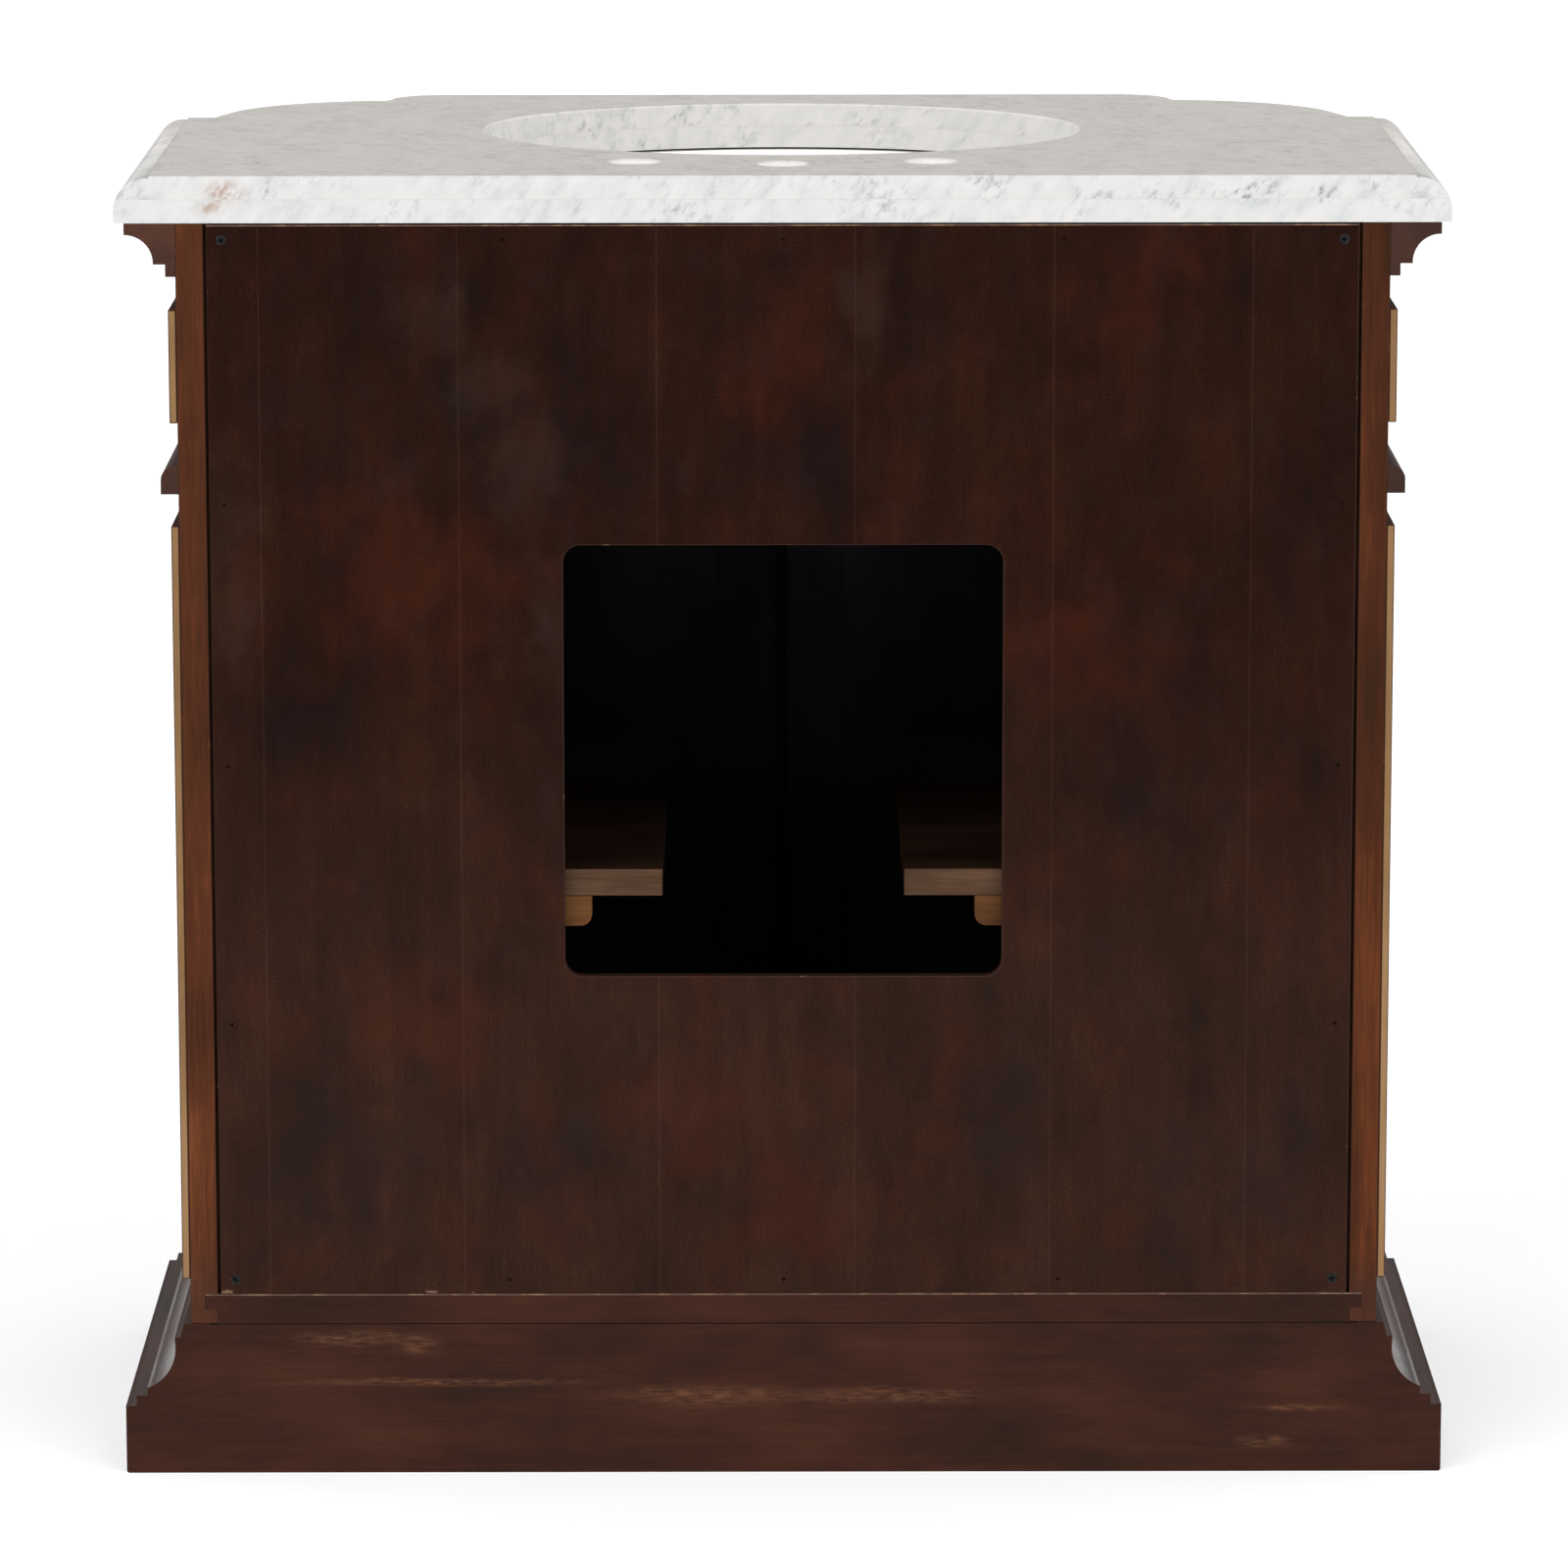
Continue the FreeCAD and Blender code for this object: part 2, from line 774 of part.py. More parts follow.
def back_panel():
    """A plywood sheet with a square plumbing opening, its corners rounded."""
    body = new_body()
    sheet_edge = [
        (-back_half, floor_top),
        (back_half, floor_top),
        (back_half, back_top),
        (-back_half, back_top),
    ]
    out = s.cutout_width / 2
    low = s.cutout_sill
    high = low + s.cutout_height
    radius = s.cutout_corner
    opening = [
        (-out + radius, low),
        (out - radius, low),
        (out, low + radius, radius, 1),
        (out, high - radius),
        (out - radius, high, radius, 1),
        (-out + radius, high),
        (-out, high - radius, radius, 1),
        (-out, low + radius),
    ]
    opening[0] = opening[0] + (radius, 1)
    pad(body, draw(body, "XZ_Plane", [sheet_edge, opening], on_depth(s.back_recess)), s.back_thickness)
    return body


def back_cleats():
    upright = (floor_top, s.carcass_top - s.back_rail_height)
    deep = (back_face, cleat_front)
    side = board((cleat_inner, side_inner), deep, upright)
    low = board((-cleat_inner, cleat_inner), deep, (floor_top, floor_top + s.cleat_size))
    return group([side, mirror(side), low])


screws, nails = back_fasteners()
keep("back_panel_screws", screws)
keep("back_panel_nails", nails)
keep("back_panel", cut(back_panel(), [screws, nails]))
keep("back_cleats", cut(back_cleats(), [screws, nails]))
top_rail = board((-side_inner, side_inner), (back_face, cleat_front),
                 (s.carcass_top - s.back_rail_height, s.carcass_top))
keep("back_top_rail", cut(top_rail, [screws, nails]))


# Shelves on cleats, with a gap for the plumbing between them
def shelf():
    body = new_body()
    rear = back_face + s.shelf_slack
    inner = s.shelf_gap / 2
    notch = cleat_inner - s.shelf_slack
    outer = side_inner - s.shelf_slack
    front = post_back - s.shelf_front_slack
    plan = [
        (inner, back - rear),
        (inner, back - front),
        (outer, back - front),
        (outer, back - cleat_front - s.shelf_slack),
        (notch, back - cleat_front - s.shelf_slack),
        (notch, back - rear),
    ]
    underside = s.shelf_top - s.shelf_thickness
    pad(body, draw(body, "XY_Plane", [plan], (ZERO, ZERO, underside)), s.shelf_thickness)
    return body


def shelf_back_cleat():
    """A cleat on the back panel, its lower inner corner rounded."""
    body = new_body()
    top = s.shelf_top - s.shelf_thickness
    low = top - s.shelf_cleat_height
    face = [
        (s.shelf_cleat_out, top),
        (s.shelf_cleat_out, low + s.shelf_cleat_round),
        (s.shelf_cleat_out + s.shelf_cleat_round, low, s.shelf_cleat_round, 1),
        (cleat_inner, low),
        (cleat_inner, top),
    ]
    pad(body, draw(body, "XZ_Plane", [face], on_depth(back_face)), s.cleat_size)
    return body


def shelf_side_cleat():
    top = s.shelf_top - s.shelf_thickness
    deep = (cleat_front + s.shelf_cleat_setback, post_back - s.shelf_front_slack - s.shelf_cleat_setback)
    return board((cleat_inner, side_inner), deep, (top - s.shelf_cleat_height, top))


keep_pair("{}_shelf", shelf())
keep_both("shelf_cleats", group([shelf_back_cleat(), shelf_side_cleat()]))


# Marble top
edge_radius = s.slab_thickness * 2 - s.edge_flat - s.edge_lip
edge_rise = s.slab_thickness - s.edge_flat
edge_bite = edge_radius - root(edge_radius * edge_radius - edge_rise * edge_rise)
sink_length = rail_back - s.flange_room - s.flange_reach - s.sink_setback
sink_depth = s.sink_setback + sink_length / 2
strip_inner = half + s.top_overhang - s.strip_width


def lower_edge():
    return [
        (s.top_overhang - s.edge_ease, s.carcass_top),
        (s.top_overhang, s.carcass_top + s.edge_ease, s.edge_ease, 1),
        (s.top_overhang, s.carcass_top + s.edge_flat),
        (s.top_overhang - edge_bite, slab_joint, edge_radius, 1),
    ]


def upper_edge():
    arris = s.top_overhang - edge_radius
    return [
        (s.top_overhang - edge_bite, slab_joint),
        (arris, top_face - s.edge_lip, edge_radius, 1),
        (arris - s.edge_ledge, top_face - s.edge_lip),
        (arris - s.edge_ledge, top_face),
    ]


def ear_trim(body, edge):
    """Shapes the ear's front with the edge profile."""
    profile = forwards(edge, s.ear_depth)
    low = edge[0][1] - s.overrun
    high = edge[-1][1] + s.overrun
    clear = back - s.ear_depth - s.top_overhang - s.overrun
    waste = [(profile[0][0], low)] + profile + [(profile[-1][0], high), (clear, high), (clear, low)]
    pocket(body, draw(body, "YZ_Plane", [waste]))


def disc_section(edge, radius):
    return [(ZERO, edge[0][1])] + rightwards(edge, radius) + [(ZERO, edge[-1][1])]


def slab(edge, side):
    """One layer of the top: ears, quarter-rounds and bay, all with the same edge profile."""
    body = new_body()
    section = draw(body, "XZ_Plane", [side + return_leg(side)], on_depth(ZERO))
    pad(body, section, s.ear_depth + s.top_overhang)
    ear_trim(body, edge)
    bay_side = rightwards(edge, bay_half)
    section = draw(body, "XZ_Plane", [bay_side + return_leg(bay_side)], on_depth(ZERO))
    pad(body, section, corner_depth)
    front = forwards(edge, bay_depth) + [(back, edge[-1][1]), (back, edge[0][1])]
    pad(body, draw(body, "YZ_Plane", [front]), corner_out * 2, "Symmetric")
    corner = disc_section(edge, s.bay_corner_radius)
    for out in (corner_out, -corner_out):
        revolve(body, draw(body, "XZ_Plane", [corner], on_depth(corner_depth, out)))
    curve = disc_section(edge, s.curve_radius)
    for out in (curve_out, -curve_out):
        revolve(body, draw(body, "XZ_Plane", [curve], on_depth(curve_depth, out)))
    return body


def edge_strip():
    """The strip that builds up the lower layer along one side."""
    body = new_body()
    edge = lower_edge()
    section = [(strip_inner, edge[0][1])] + rightwards(edge, half) + [(strip_inner, edge[-1][1])]
    pad(body, draw(body, "XZ_Plane", [section], on_depth(ZERO)), s.ear_depth + s.top_overhang)
    ear_trim(body, edge)
    return body


def oval(width, length, up):
    item = doc.addObject("Part::Ellipse", "oval")
    bind(item, "MajorRadius", width / 2)
    bind(item, "MinorRadius", length / 2)
    place(item, ZERO, sink_depth, up)
    return item


def oval_loft(rings, ruled=True):
    item = doc.addObject("Part::Loft", "loft")
    item.Sections = [oval(*ring) for ring in rings]
    item.Solid = True
    item.Ruled = ruled
    return item


def top_holes():
    """The sink hole and three faucet holes, with eased upper edges."""
    low = s.carcass_top - s.overrun
    high = top_face + s.overrun
    ease_low = top_face - s.hole_ease
    flare = s.hole_ease * 4
    tools = [
        oval_loft([(s.sink_width, sink_length, low), (s.sink_width, sink_length, high)]),
        oval_loft([(s.sink_width, sink_length, ease_low),
                   (s.sink_width + flare, sink_length + flare, top_face + s.hole_ease)]),
    ]
    spread = s.faucet_spread / 2
    for across, depth in ((-spread, s.faucet_setback), (ZERO, s.spout_setback), (spread, s.faucet_setback)):
        tools.append(rod(across, depth, low, s.faucet_radius, high - low))
        wide = s.faucet_radius + flare / 2
        tools.append(cone(across, depth, ease_low, s.faucet_radius, wide, s.hole_ease * 2))
    return fuse(tools)


holes = top_holes()
plain_side = [(strip_inner, s.carcass_top), (strip_inner, slab_joint)]
keep("marble_top_slab", cut(slab(upper_edge(), rightwards(upper_edge(), half)), [holes]))
keep("marble_lower_slab", cut(slab(lower_edge(), plain_side), [holes]))
keep_both("marble_edge_strips", edge_strip())


# Undermount sink
sink_rim = s.carcass_top - s.seal_thickness
flange_width = s.sink_width + s.flange_reach * 2
flange_length = sink_length + s.flange_reach * 2
flange_bottom = sink_rim - s.flange_thickness


def bowl_rings(wall):
    rim_width = s.sink_width - s.sink_reveal * 2
    rim_length = sink_length - s.sink_reveal * 2
    depth = s.bowl_depth + wall
    rings = []
    for depth_share, size_share in zip(BOWL_DEPTH_SHARES, BOWL_SIZE_SHARES):
        spread = wall * 2
        rings.append((rim_width * size_share + spread, rim_length * size_share + spread,
                      sink_rim - depth * depth_share))
    return rings


def sink_bowl():
    flange = oval_loft([(flange_width, flange_length, flange_bottom),
                        (flange_width, flange_length, sink_rim)])
    outside = oval_loft(bowl_rings(s.sink_wall), ruled=False)
    inside = oval_loft(bowl_rings(ZERO), ruled=False)
    drain = rod(ZERO, sink_depth, sink_rim - s.bowl_depth - s.sink_wall - s.overrun, s.drain_radius,
                s.sink_wall + s.overrun * 2)
    return cut(fuse([flange, outside]), [inside, drain])


def sink_seal():
    narrow = s.seal_setback * 2
    outer = (flange_width - narrow, flange_length - narrow)
    inner = (s.sink_width + narrow, sink_length + narrow)
    ring = oval_loft([outer + (sink_rim,), outer + (s.carcass_top,)])
    middle = oval_loft([inner + (sink_rim - s.overrun,), inner + (s.carcass_top + s.overrun,)])
    return cut(ring, [middle])


def sink_clip(offset):
    """A bent steel clip that holds the flange up, bolted to the marble beside it."""
    nearest = offset - s.clip_width / 2
    share = nearest / (flange_length / 2)
    rim = flange_width / 2 * root(Size("1", 1.0) - share * share)
    web = rim + s.clip_room
    deep = (sink_depth + offset - s.clip_width / 2, sink_depth + offset + s.clip_width / 2)
    foot_low = flange_bottom - s.clip_thickness
    foot = board((web - s.clip_foot, web + s.clip_thickness), deep, (foot_low, flange_bottom))
    upright = board((web, web + s.clip_thickness), deep, (foot_low, s.carcass_top))
    pad_low = s.carcass_top - s.clip_thickness
    fixing = board((web, web + s.clip_thickness + s.clip_foot), deep, (pad_low, s.carcass_top))
    bolt = rod(web + s.clip_thickness + s.clip_foot / 2, sink_depth + offset, pad_low - s.clip_bolt_height,
               s.clip_bolt_radius, s.clip_bolt_height)
    return fuse([foot, upright, fixing, bolt])


def sink_clips():
    front = sink_clip(s.clip_offset)
    behind = doc.addObject("Part::Mirroring", "mirror")
    behind.Source = front
    behind.Normal = FreeCAD.Vector(0, 1, 0)
    bind(behind, "Base.y", back - sink_depth)
    return group([front, behind])


keep("sink_bowl", sink_bowl())
keep("sink_seal", sink_seal())
keep_both("sink_clips", sink_clips())


# Front rail of the bay and the ball catches in it
def ball_catch():
    socket = rod(s.catch_out, bay_depth - rail_thickness / 2, rail_bottom, s.catch_radius, s.catch_length)
    ball = doc.addObject("Part::Sphere", "ball")
    bind(ball, "Radius", s.ball_radius)
    place(ball, s.catch_out, bay_depth - rail_thickness / 2, rail_bottom - s.ball_proud + s.ball_radius)
    return fuse([socket, ball])


def frieze_rail(catches):
    rail = board((-opening_half, opening_half), (rail_back, bay_depth),
                 (rail_bottom, s.carcass_top))
    return cut(rail, [catches])


def door_stop():
    """A slim upright behind the meeting edges, from the bottom panel up the back of the rail."""
    out = s.stop_width / 2
    deep = (rail_back - s.stop_thickness, rail_back)
    return board((-out, out), deep, (floor_top, rail_bottom + s.stop_overlap))


catch = ball_catch()
catches = group([catch, mirror(catch)])
keep("door_catches", catches)
keep("front_frieze_rail", frieze_rail(catches))
keep("door_stop", door_stop())


# Doors: frame and raised panel, made for the right-hand side
door_inner = s.door_gap / 2
leaf_space = s.leaf_thickness * 2 + s.leaf_gap
door_outer = opening_half - leaf_space
door_low = floor_top + s.door_clearance
door_high = rail_bottom - s.door_clearance
door_back = bay_depth - s.door_thickness
door_mid = bay_depth - s.door_thickness / 2
meeting_edge = door_inner + s.door_stile_width
hinge_edge = door_outer - s.door_stile_width
groove_half = s.panel_thickness / 2 + s.groove_slack
groove = (door_mid - groove_half, door_mid + groove_half)
knob_out = door_inner + s.door_stile_width / 2
knob_up = (door_low + door_high) / 2 - s.knob_drop
knob_bore_radius = s.knob_screw_radius + s.knob_screw_room
through_door = (door_back, bay_depth)


def door_stiles():
    upright = (door_low, door_high)
    groove_end = s.door_rail_width - s.groove_depth
    long_groove = (door_low + groove_end, door_high - groove_end)
    meeting = board((door_inner, meeting_edge), through_door, upright)
    slot = board((meeting_edge - s.groove_depth, meeting_edge + s.overrun), groove, long_groove)
    bore = lay_forward(rod(knob_out, door_back - s.overrun, knob_up, knob_bore_radius,
                           s.door_thickness + s.overrun * 2))
    keep_pair("{}_door_meeting_stile", cut(meeting, [slot, bore]))
    hinge = board((hinge_edge, door_outer), through_door, upright)
    slot = board((hinge_edge - s.overrun, hinge_edge + s.groove_depth), groove, long_groove)
    keep_pair("{}_door_hinge_stile", cut(hinge, [slot]))


def door_rails():
    across = (meeting_edge, hinge_edge)
    slot_across = (meeting_edge - s.overrun, hinge_edge + s.overrun)
    top_edge = door_high - s.door_rail_width
    low_edge = door_low + s.door_rail_width
    top = board(across, through_door, (top_edge, door_high))
    top_slot = board(slot_across, groove, (top_edge - s.overrun, top_edge + s.groove_depth))
    low = board(across, through_door, (door_low, low_edge))
    low_slot = board(slot_across, groove, (low_edge - s.groove_depth, low_edge + s.overrun))
    return group([cut(top, [top_slot]), cut(low, [low_slot])])


def door_panel():
    """A panel held in the grooves, with a bevelled field raised towards the front."""
    hold = s.groove_depth - s.groove_slack
    low_edge = door_low + s.door_rail_width
    top_edge = door_high - s.door_rail_width
    face = door_mid + s.panel_thickness / 2
    plate = board((meeting_edge - hold, hinge_edge + hold), (door_mid - s.panel_thickness / 2, face),
                  (low_edge - hold, top_edge + hold))
    field = doc.addObject("Part::Wedge", "field")
    spans = (("X", meeting_edge, hinge_edge), ("Z", low_edge, top_edge))
    for axis, first, last in spans:
        bind(field, f"{axis}2min", first + s.field_gap)
        bind(field, f"{axis}2max", last - s.field_gap)
        bind(field, f"{axis}min", first + s.field_gap + s.field_bevel)
        bind(field, f"{axis}max", last - s.field_gap - s.field_bevel)
    bind(field, "Ymin", back - face - s.field_rise)
    bind(field, "Ymax", back - face)
    return fuse([plate, field])


def knob():
    """A turned knob on the meeting stile, and the screw that holds it from inside."""
    body = new_body()
    base = s.knob_base_length
    neck = base + s.knob_neck_length
    tip = neck + s.knob_head_length
    shoulder = tip - s.knob_head_length / 3
    outline = [
        (ZERO, ZERO),
        (ZERO, s.knob_base_radius),
        (-base, s.knob_base_radius),
        (-base, s.knob_neck_radius),
        (-neck, s.knob_neck_radius),
        (-shoulder, s.knob_head_radius, s.knob_crown_radius, 1),
        (-tip, s.knob_tip_radius, s.knob_crown_radius, 1),
        (-tip, ZERO),
    ]
    shift = (back - bay_depth, knob_up, knob_out)
    revolve(body, draw(body, "YZ_Plane", [outline], shift), axis="H_Axis")
    reach = s.door_thickness + s.knob_screw_bite
    shank = lay_forward(rod(knob_out, door_back, knob_up, s.knob_screw_radius, reach))
    head = lay_forward(rod(knob_out, door_back - s.knob_screw_head_height, knob_up,
                           s.knob_screw_head_radius, s.knob_screw_head_height))
    bore = lay_forward(rod(knob_out, bay_depth - s.overrun, knob_up, knob_bore_radius,
                           s.overrun + s.knob_screw_bite + s.knob_screw_room))
    return group([cut(body, [bore]), fuse([head, shank])])


door_stiles()
keep_pair("{}_door_rails", door_rails())
keep_pair("{}_door_panel", door_panel())
keep_pair("{}_door_knob", knob())


# Butt hinges with their barrels standing proud of the front
hinge_out = opening_half - leaf_space / 2
hinge_depth = bay_depth + s.barrel_radius + s.barrel_gap
leaf_front = bay_depth - s.leaf_gap / 2
leaf_back = door_back + s.leaf_back_margin
knuckle = s.hinge_height * KNUCKLE_SHARE
frame_leaf_across = (opening_half - s.leaf_thickness, opening_half)
door_leaf_across = (door_outer, door_outer + s.leaf_thickness)


def knuckled_leaf(across, low, spans):
    """A leaf plate with a knuckle over each span of heights, bored for the pin."""
    plate = [board(across, (leaf_back, leaf_front), (low, low + s.hinge_height))]
    for first, last in spans:
        plate.append(board(across, (leaf_front, hinge_depth), (first, last)))
        plate.append(rod(hinge_out, hinge_depth, first, s.barrel_radius, last - first))
    bore = rod(hinge_out, hinge_depth, low - s.overrun, s.pin_radius + s.pin_clearance,
               s.hinge_height + s.overrun * 2)
    return cut(fuse(plate), [bore])


def hinge_pin(low):
    shank = rod(hinge_out, hinge_depth, low, s.pin_radius, s.hinge_height)
    foot = rod(hinge_out, hinge_depth, low - s.pin_head_height, s.pin_head_radius, s.pin_head_height)
    head = rod(hinge_out, hinge_depth, low + s.hinge_height, s.pin_head_radius, s.pin_head_height)
    return fuse([foot, shank, head])


def hinges():
    frame_leaves = []
    door_leaves = []
    pins = []
    for low in (door_low + s.hinge_margin, door_high - s.hinge_margin - s.hinge_height):
        high = low + s.hinge_height
        middle = low + (s.hinge_height - knuckle) / 2
        outer_spans = ((low, middle), (middle + knuckle, high))
        inner_span = ((middle + s.leaf_gap, middle + knuckle - s.leaf_gap),)
        frame_leaves.append(knuckled_leaf(frame_leaf_across, low, outer_spans))
        door_leaves.append(knuckled_leaf(door_leaf_across, low, inner_span))
        pins.append(hinge_pin(low))
    keep_both("frame_hinge_leaves", group(frame_leaves))
    keep_pair("{}_door_hinge_leaves", group(door_leaves))
    keep_both("hinge_pins", group(pins))


hinges()
doc.recompute()

# Every object has to be sound before anything is written
for item in doc.Objects:
    if "Invalid" in item.State or "Error" in item.State:
        raise RuntimeError(f"{item.Name} ({item.Label}) did not build: {item.State}")
for label, item in pieces.items():
    if item.Shape.isNull() or not item.Shape.isValid() or not item.Shape.Solids:
        raise RuntimeError(f"{label} has no valid solid")

os.makedirs("parts", exist_ok=True)
for label, item in pieces.items():
    item.Shape.exportStep(f"parts/{label}.step")
    print(f"{label}: {len(item.Shape.Solids)} solid(s), {item.Shape.Volume / 1000:.1f} cm3")
print(f"{len(pieces)} nodes")
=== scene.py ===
# %% [markdown]
# # A sink chest, seen from behind
#
# A dark-stained bathroom chest carries a two-layer marble top with an oval sink hole. The solids come
# packed from the CAD model and stay where they are. This lesson sets up the photograph's camera and
# light, gives every surface the finish of its real material, eases the arrises of the boards, and adds
# the small fasteners.

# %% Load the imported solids
import json
import math

import bmesh
import bpy
from mathutils import Matrix, Vector


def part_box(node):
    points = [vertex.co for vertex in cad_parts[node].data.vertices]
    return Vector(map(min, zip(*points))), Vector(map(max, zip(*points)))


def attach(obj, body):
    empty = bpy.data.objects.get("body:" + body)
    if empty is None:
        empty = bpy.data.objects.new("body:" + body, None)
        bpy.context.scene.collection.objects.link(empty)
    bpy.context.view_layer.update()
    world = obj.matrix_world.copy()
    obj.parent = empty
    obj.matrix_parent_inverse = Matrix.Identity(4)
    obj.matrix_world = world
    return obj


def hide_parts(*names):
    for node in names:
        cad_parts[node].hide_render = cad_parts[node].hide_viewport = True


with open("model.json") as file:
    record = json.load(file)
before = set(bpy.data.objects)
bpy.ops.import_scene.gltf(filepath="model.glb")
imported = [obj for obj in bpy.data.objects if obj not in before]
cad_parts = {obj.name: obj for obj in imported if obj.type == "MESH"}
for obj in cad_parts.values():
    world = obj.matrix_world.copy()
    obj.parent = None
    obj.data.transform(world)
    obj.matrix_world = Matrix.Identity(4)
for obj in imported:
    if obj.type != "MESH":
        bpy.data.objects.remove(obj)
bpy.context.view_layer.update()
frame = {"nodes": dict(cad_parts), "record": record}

nodes = frame["nodes"]
body_of = {node: body for body, members in frame["record"]["behaviour"]["bodies"].items() for node in members}

# %% [markdown]
# ## The camera
#
# A long lens stands five and a half metres behind the chest and a little above it. Its place and turn
# come from a least-squares fit of known corners (screws, the plumbing opening, the marble's arrises, the
# plinth, the doors' meeting line) to where they lie in the picture, so a render can be laid over it.

# %% Camera
PICTURE_SIDE = 1600
FOCAL_PIXELS = 8050.0
CAMERA_PLACE = Vector((0.0176, 5.5944, 1.4904))
CAMERA_YAW = math.radians(-0.195)
CAMERA_PITCH = math.radians(10.706)
CAMERA_ROLL = math.radians(-0.043)

lens = bpy.data.cameras.new("long_lens")
lens.sensor_width = 36.0
lens.lens = FOCAL_PIXELS / PICTURE_SIDE * lens.sensor_width
camera = bpy.data.objects.new("camera", lens)
bpy.context.collection.objects.link(camera)
ahead = Vector((math.sin(CAMERA_YAW) * math.cos(CAMERA_PITCH),
                -math.cos(CAMERA_YAW) * math.cos(CAMERA_PITCH),
                -math.sin(CAMERA_PITCH)))
level = ahead.cross(Vector((0, 0, 1))).normalized()
right = Matrix.Rotation(-CAMERA_ROLL, 3, ahead) @ level
above = right.cross(ahead)
turn = Matrix((right, above, -ahead)).transposed()
camera.matrix_world = Matrix.Translation(CAMERA_PLACE) @ turn.to_4x4()
bpy.context.scene.camera = camera
print(f"lens {lens.lens:.1f} mm")

# %% [markdown]
# ## Nodes and colours
#
# Every material and every geometry tree below is built with one function, which adds a node, sets its
# properties and joins its inputs. Colours are written as the sRGB codes a paint chart would give.


# %% Helpers for node trees and colours
def add(tree, kind, inputs=None, stops=(), **settings):
    """Adds a node. An input is a value or the socket it is joined to; stops fill a colour ramp."""
    made = tree.nodes.new(kind)
    for name, value in settings.items():
        setattr(made, name, value)
    for name, value in (inputs or {}).items():
        if isinstance(value, bpy.types.NodeSocket):
            tree.links.new(value, made.inputs[name])
        else:
            made.inputs[name].default_value = value
    for index, (position, code) in enumerate(stops):
        elements = made.color_ramp.elements
        stop = elements[index] if index < len(elements) else elements.new(position)
        stop.position = position
        stop.color = linear(code)
    return made


def linear(code):
    """The linear colour of an sRGB code such as #a0b0c0."""
    channels = [int(code[i:i + 2], 16) / 255 for i in (1, 3, 5)]
    return [c / 12.92 if c <= 0.04045 else ((c + 0.055) / 1.055) ** 2.4 for c in channels] + [1.0]


def per_mm(size):
    """Texture scale for features of this many millimetres, on coordinates in metres."""
    return 1000.0 / size


def new_material(name):
    material = bpy.data.materials.new(name)
    material.use_nodes = True
    tree = material.node_tree
    tree.nodes.clear()
    shader = add(tree, "ShaderNodeBsdfPrincipled")
    add(tree, "ShaderNodeOutputMaterial", {"Surface": shader.outputs["BSDF"]})
    place = add(tree, "ShaderNodeTexCoord").outputs["Object"]
    return material, tree, shader, place


print(f"a middle grey is {linear('#808080')[0]:.3f} in linear light")

# %% [markdown]
# ## Stained wood
#
# The chest is a close-grained hardwood with a dark walnut stain wiped on by hand. The eye sees three
# sizes of variation: blotches a hand wide where the stain took unevenly, bands of figure a centimetre
# wide, and fibres about a millimetre wide that run the length of the board. Each is a noise stretched
# along the grain, and their sum picks a tone between the stain's dark and light ends. The reflection is
# kept low, because a wiped stain fills no pores and stays nearly matt.


# %% Grain and stain
GRAIN = {"x": (0.04, 1.0, 1.0), "y": (1.0, 0.04, 1.0), "z": (1.0, 1.0, 0.04)}
BLOTCH = {"x": (0.45, 1.0, 1.0), "y": (1.0, 0.45, 1.0), "z": (1.0, 1.0, 0.45)}
FIBRE_RELIEF = 0.0002
TONE_STOPS = (0.37, 0.5, 0.63)


def wood_grain(tree, place, axis, fibre_mm=1.3, figure_mm=11.0, blotch_mm=85.0, weights=(0.2, 0.22, 0.58)):
    """Noises stretched along the grain: the tone they add up to, the fibre alone, the blotch alone."""
    along = add(tree, "ShaderNodeMapping", {"Vector": place, "Scale": GRAIN[axis]}).outputs["Vector"]
    wide = add(tree, "ShaderNodeMapping", {"Vector": place, "Scale": BLOTCH[axis]}).outputs["Vector"]
    fibre = add(tree, "ShaderNodeTexNoise",
                {"Vector": along, "Scale": per_mm(fibre_mm), "Detail": 3.0}).outputs["Fac"]
    figure = add(tree, "ShaderNodeTexNoise", {
        "Vector": along, "Scale": per_mm(figure_mm), "Detail": 4.0, "Distortion": 0.5}).outputs["Fac"]
    blotch = add(tree, "ShaderNodeTexNoise", {
        "Vector": wide, "Scale": per_mm(blotch_mm), "Detail": 5.0, "Roughness": 0.6}).outputs["Fac"]
    tone = 0.0
    for noise, weight in zip((fibre, figure, blotch), weights):
        tone = add(tree, "ShaderNodeMath", {0: noise, 1: weight, 2: tone},
                   operation="MULTIPLY_ADD").outputs[0]
    return tone, fibre, blotch


def finish_wood(tree, shader, colour, fibre, blotch, shine, smooth=0.42, rough=0.62):
    """Joins colour, roughness and a fine fibre relief to the shader; shine is how much it reflects."""
    tree.links.new(colour, shader.inputs["Base Color"])
    gloss = add(tree, "ShaderNodeMapRange", {"Value": blotch, "From Min": 0.3, "From Max": 0.7,
                                             "To Min": smooth, "To Max": rough}).outputs["Result"]
    tree.links.new(gloss, shader.inputs["Roughness"])
    relief = add(tree, "ShaderNodeBump", {"Height": fibre, "Strength": 0.35, "Distance": FIBRE_RELIEF})
    tree.links.new(relief.outputs["Normal"], shader.inputs["Normal"])
    shader.inputs["Specular IOR Level"].default_value = shine


def stops_of(codes):
    """A wood's dark, middle and light colours where the tone usually lies."""
    return tuple(zip(TONE_STOPS, codes))


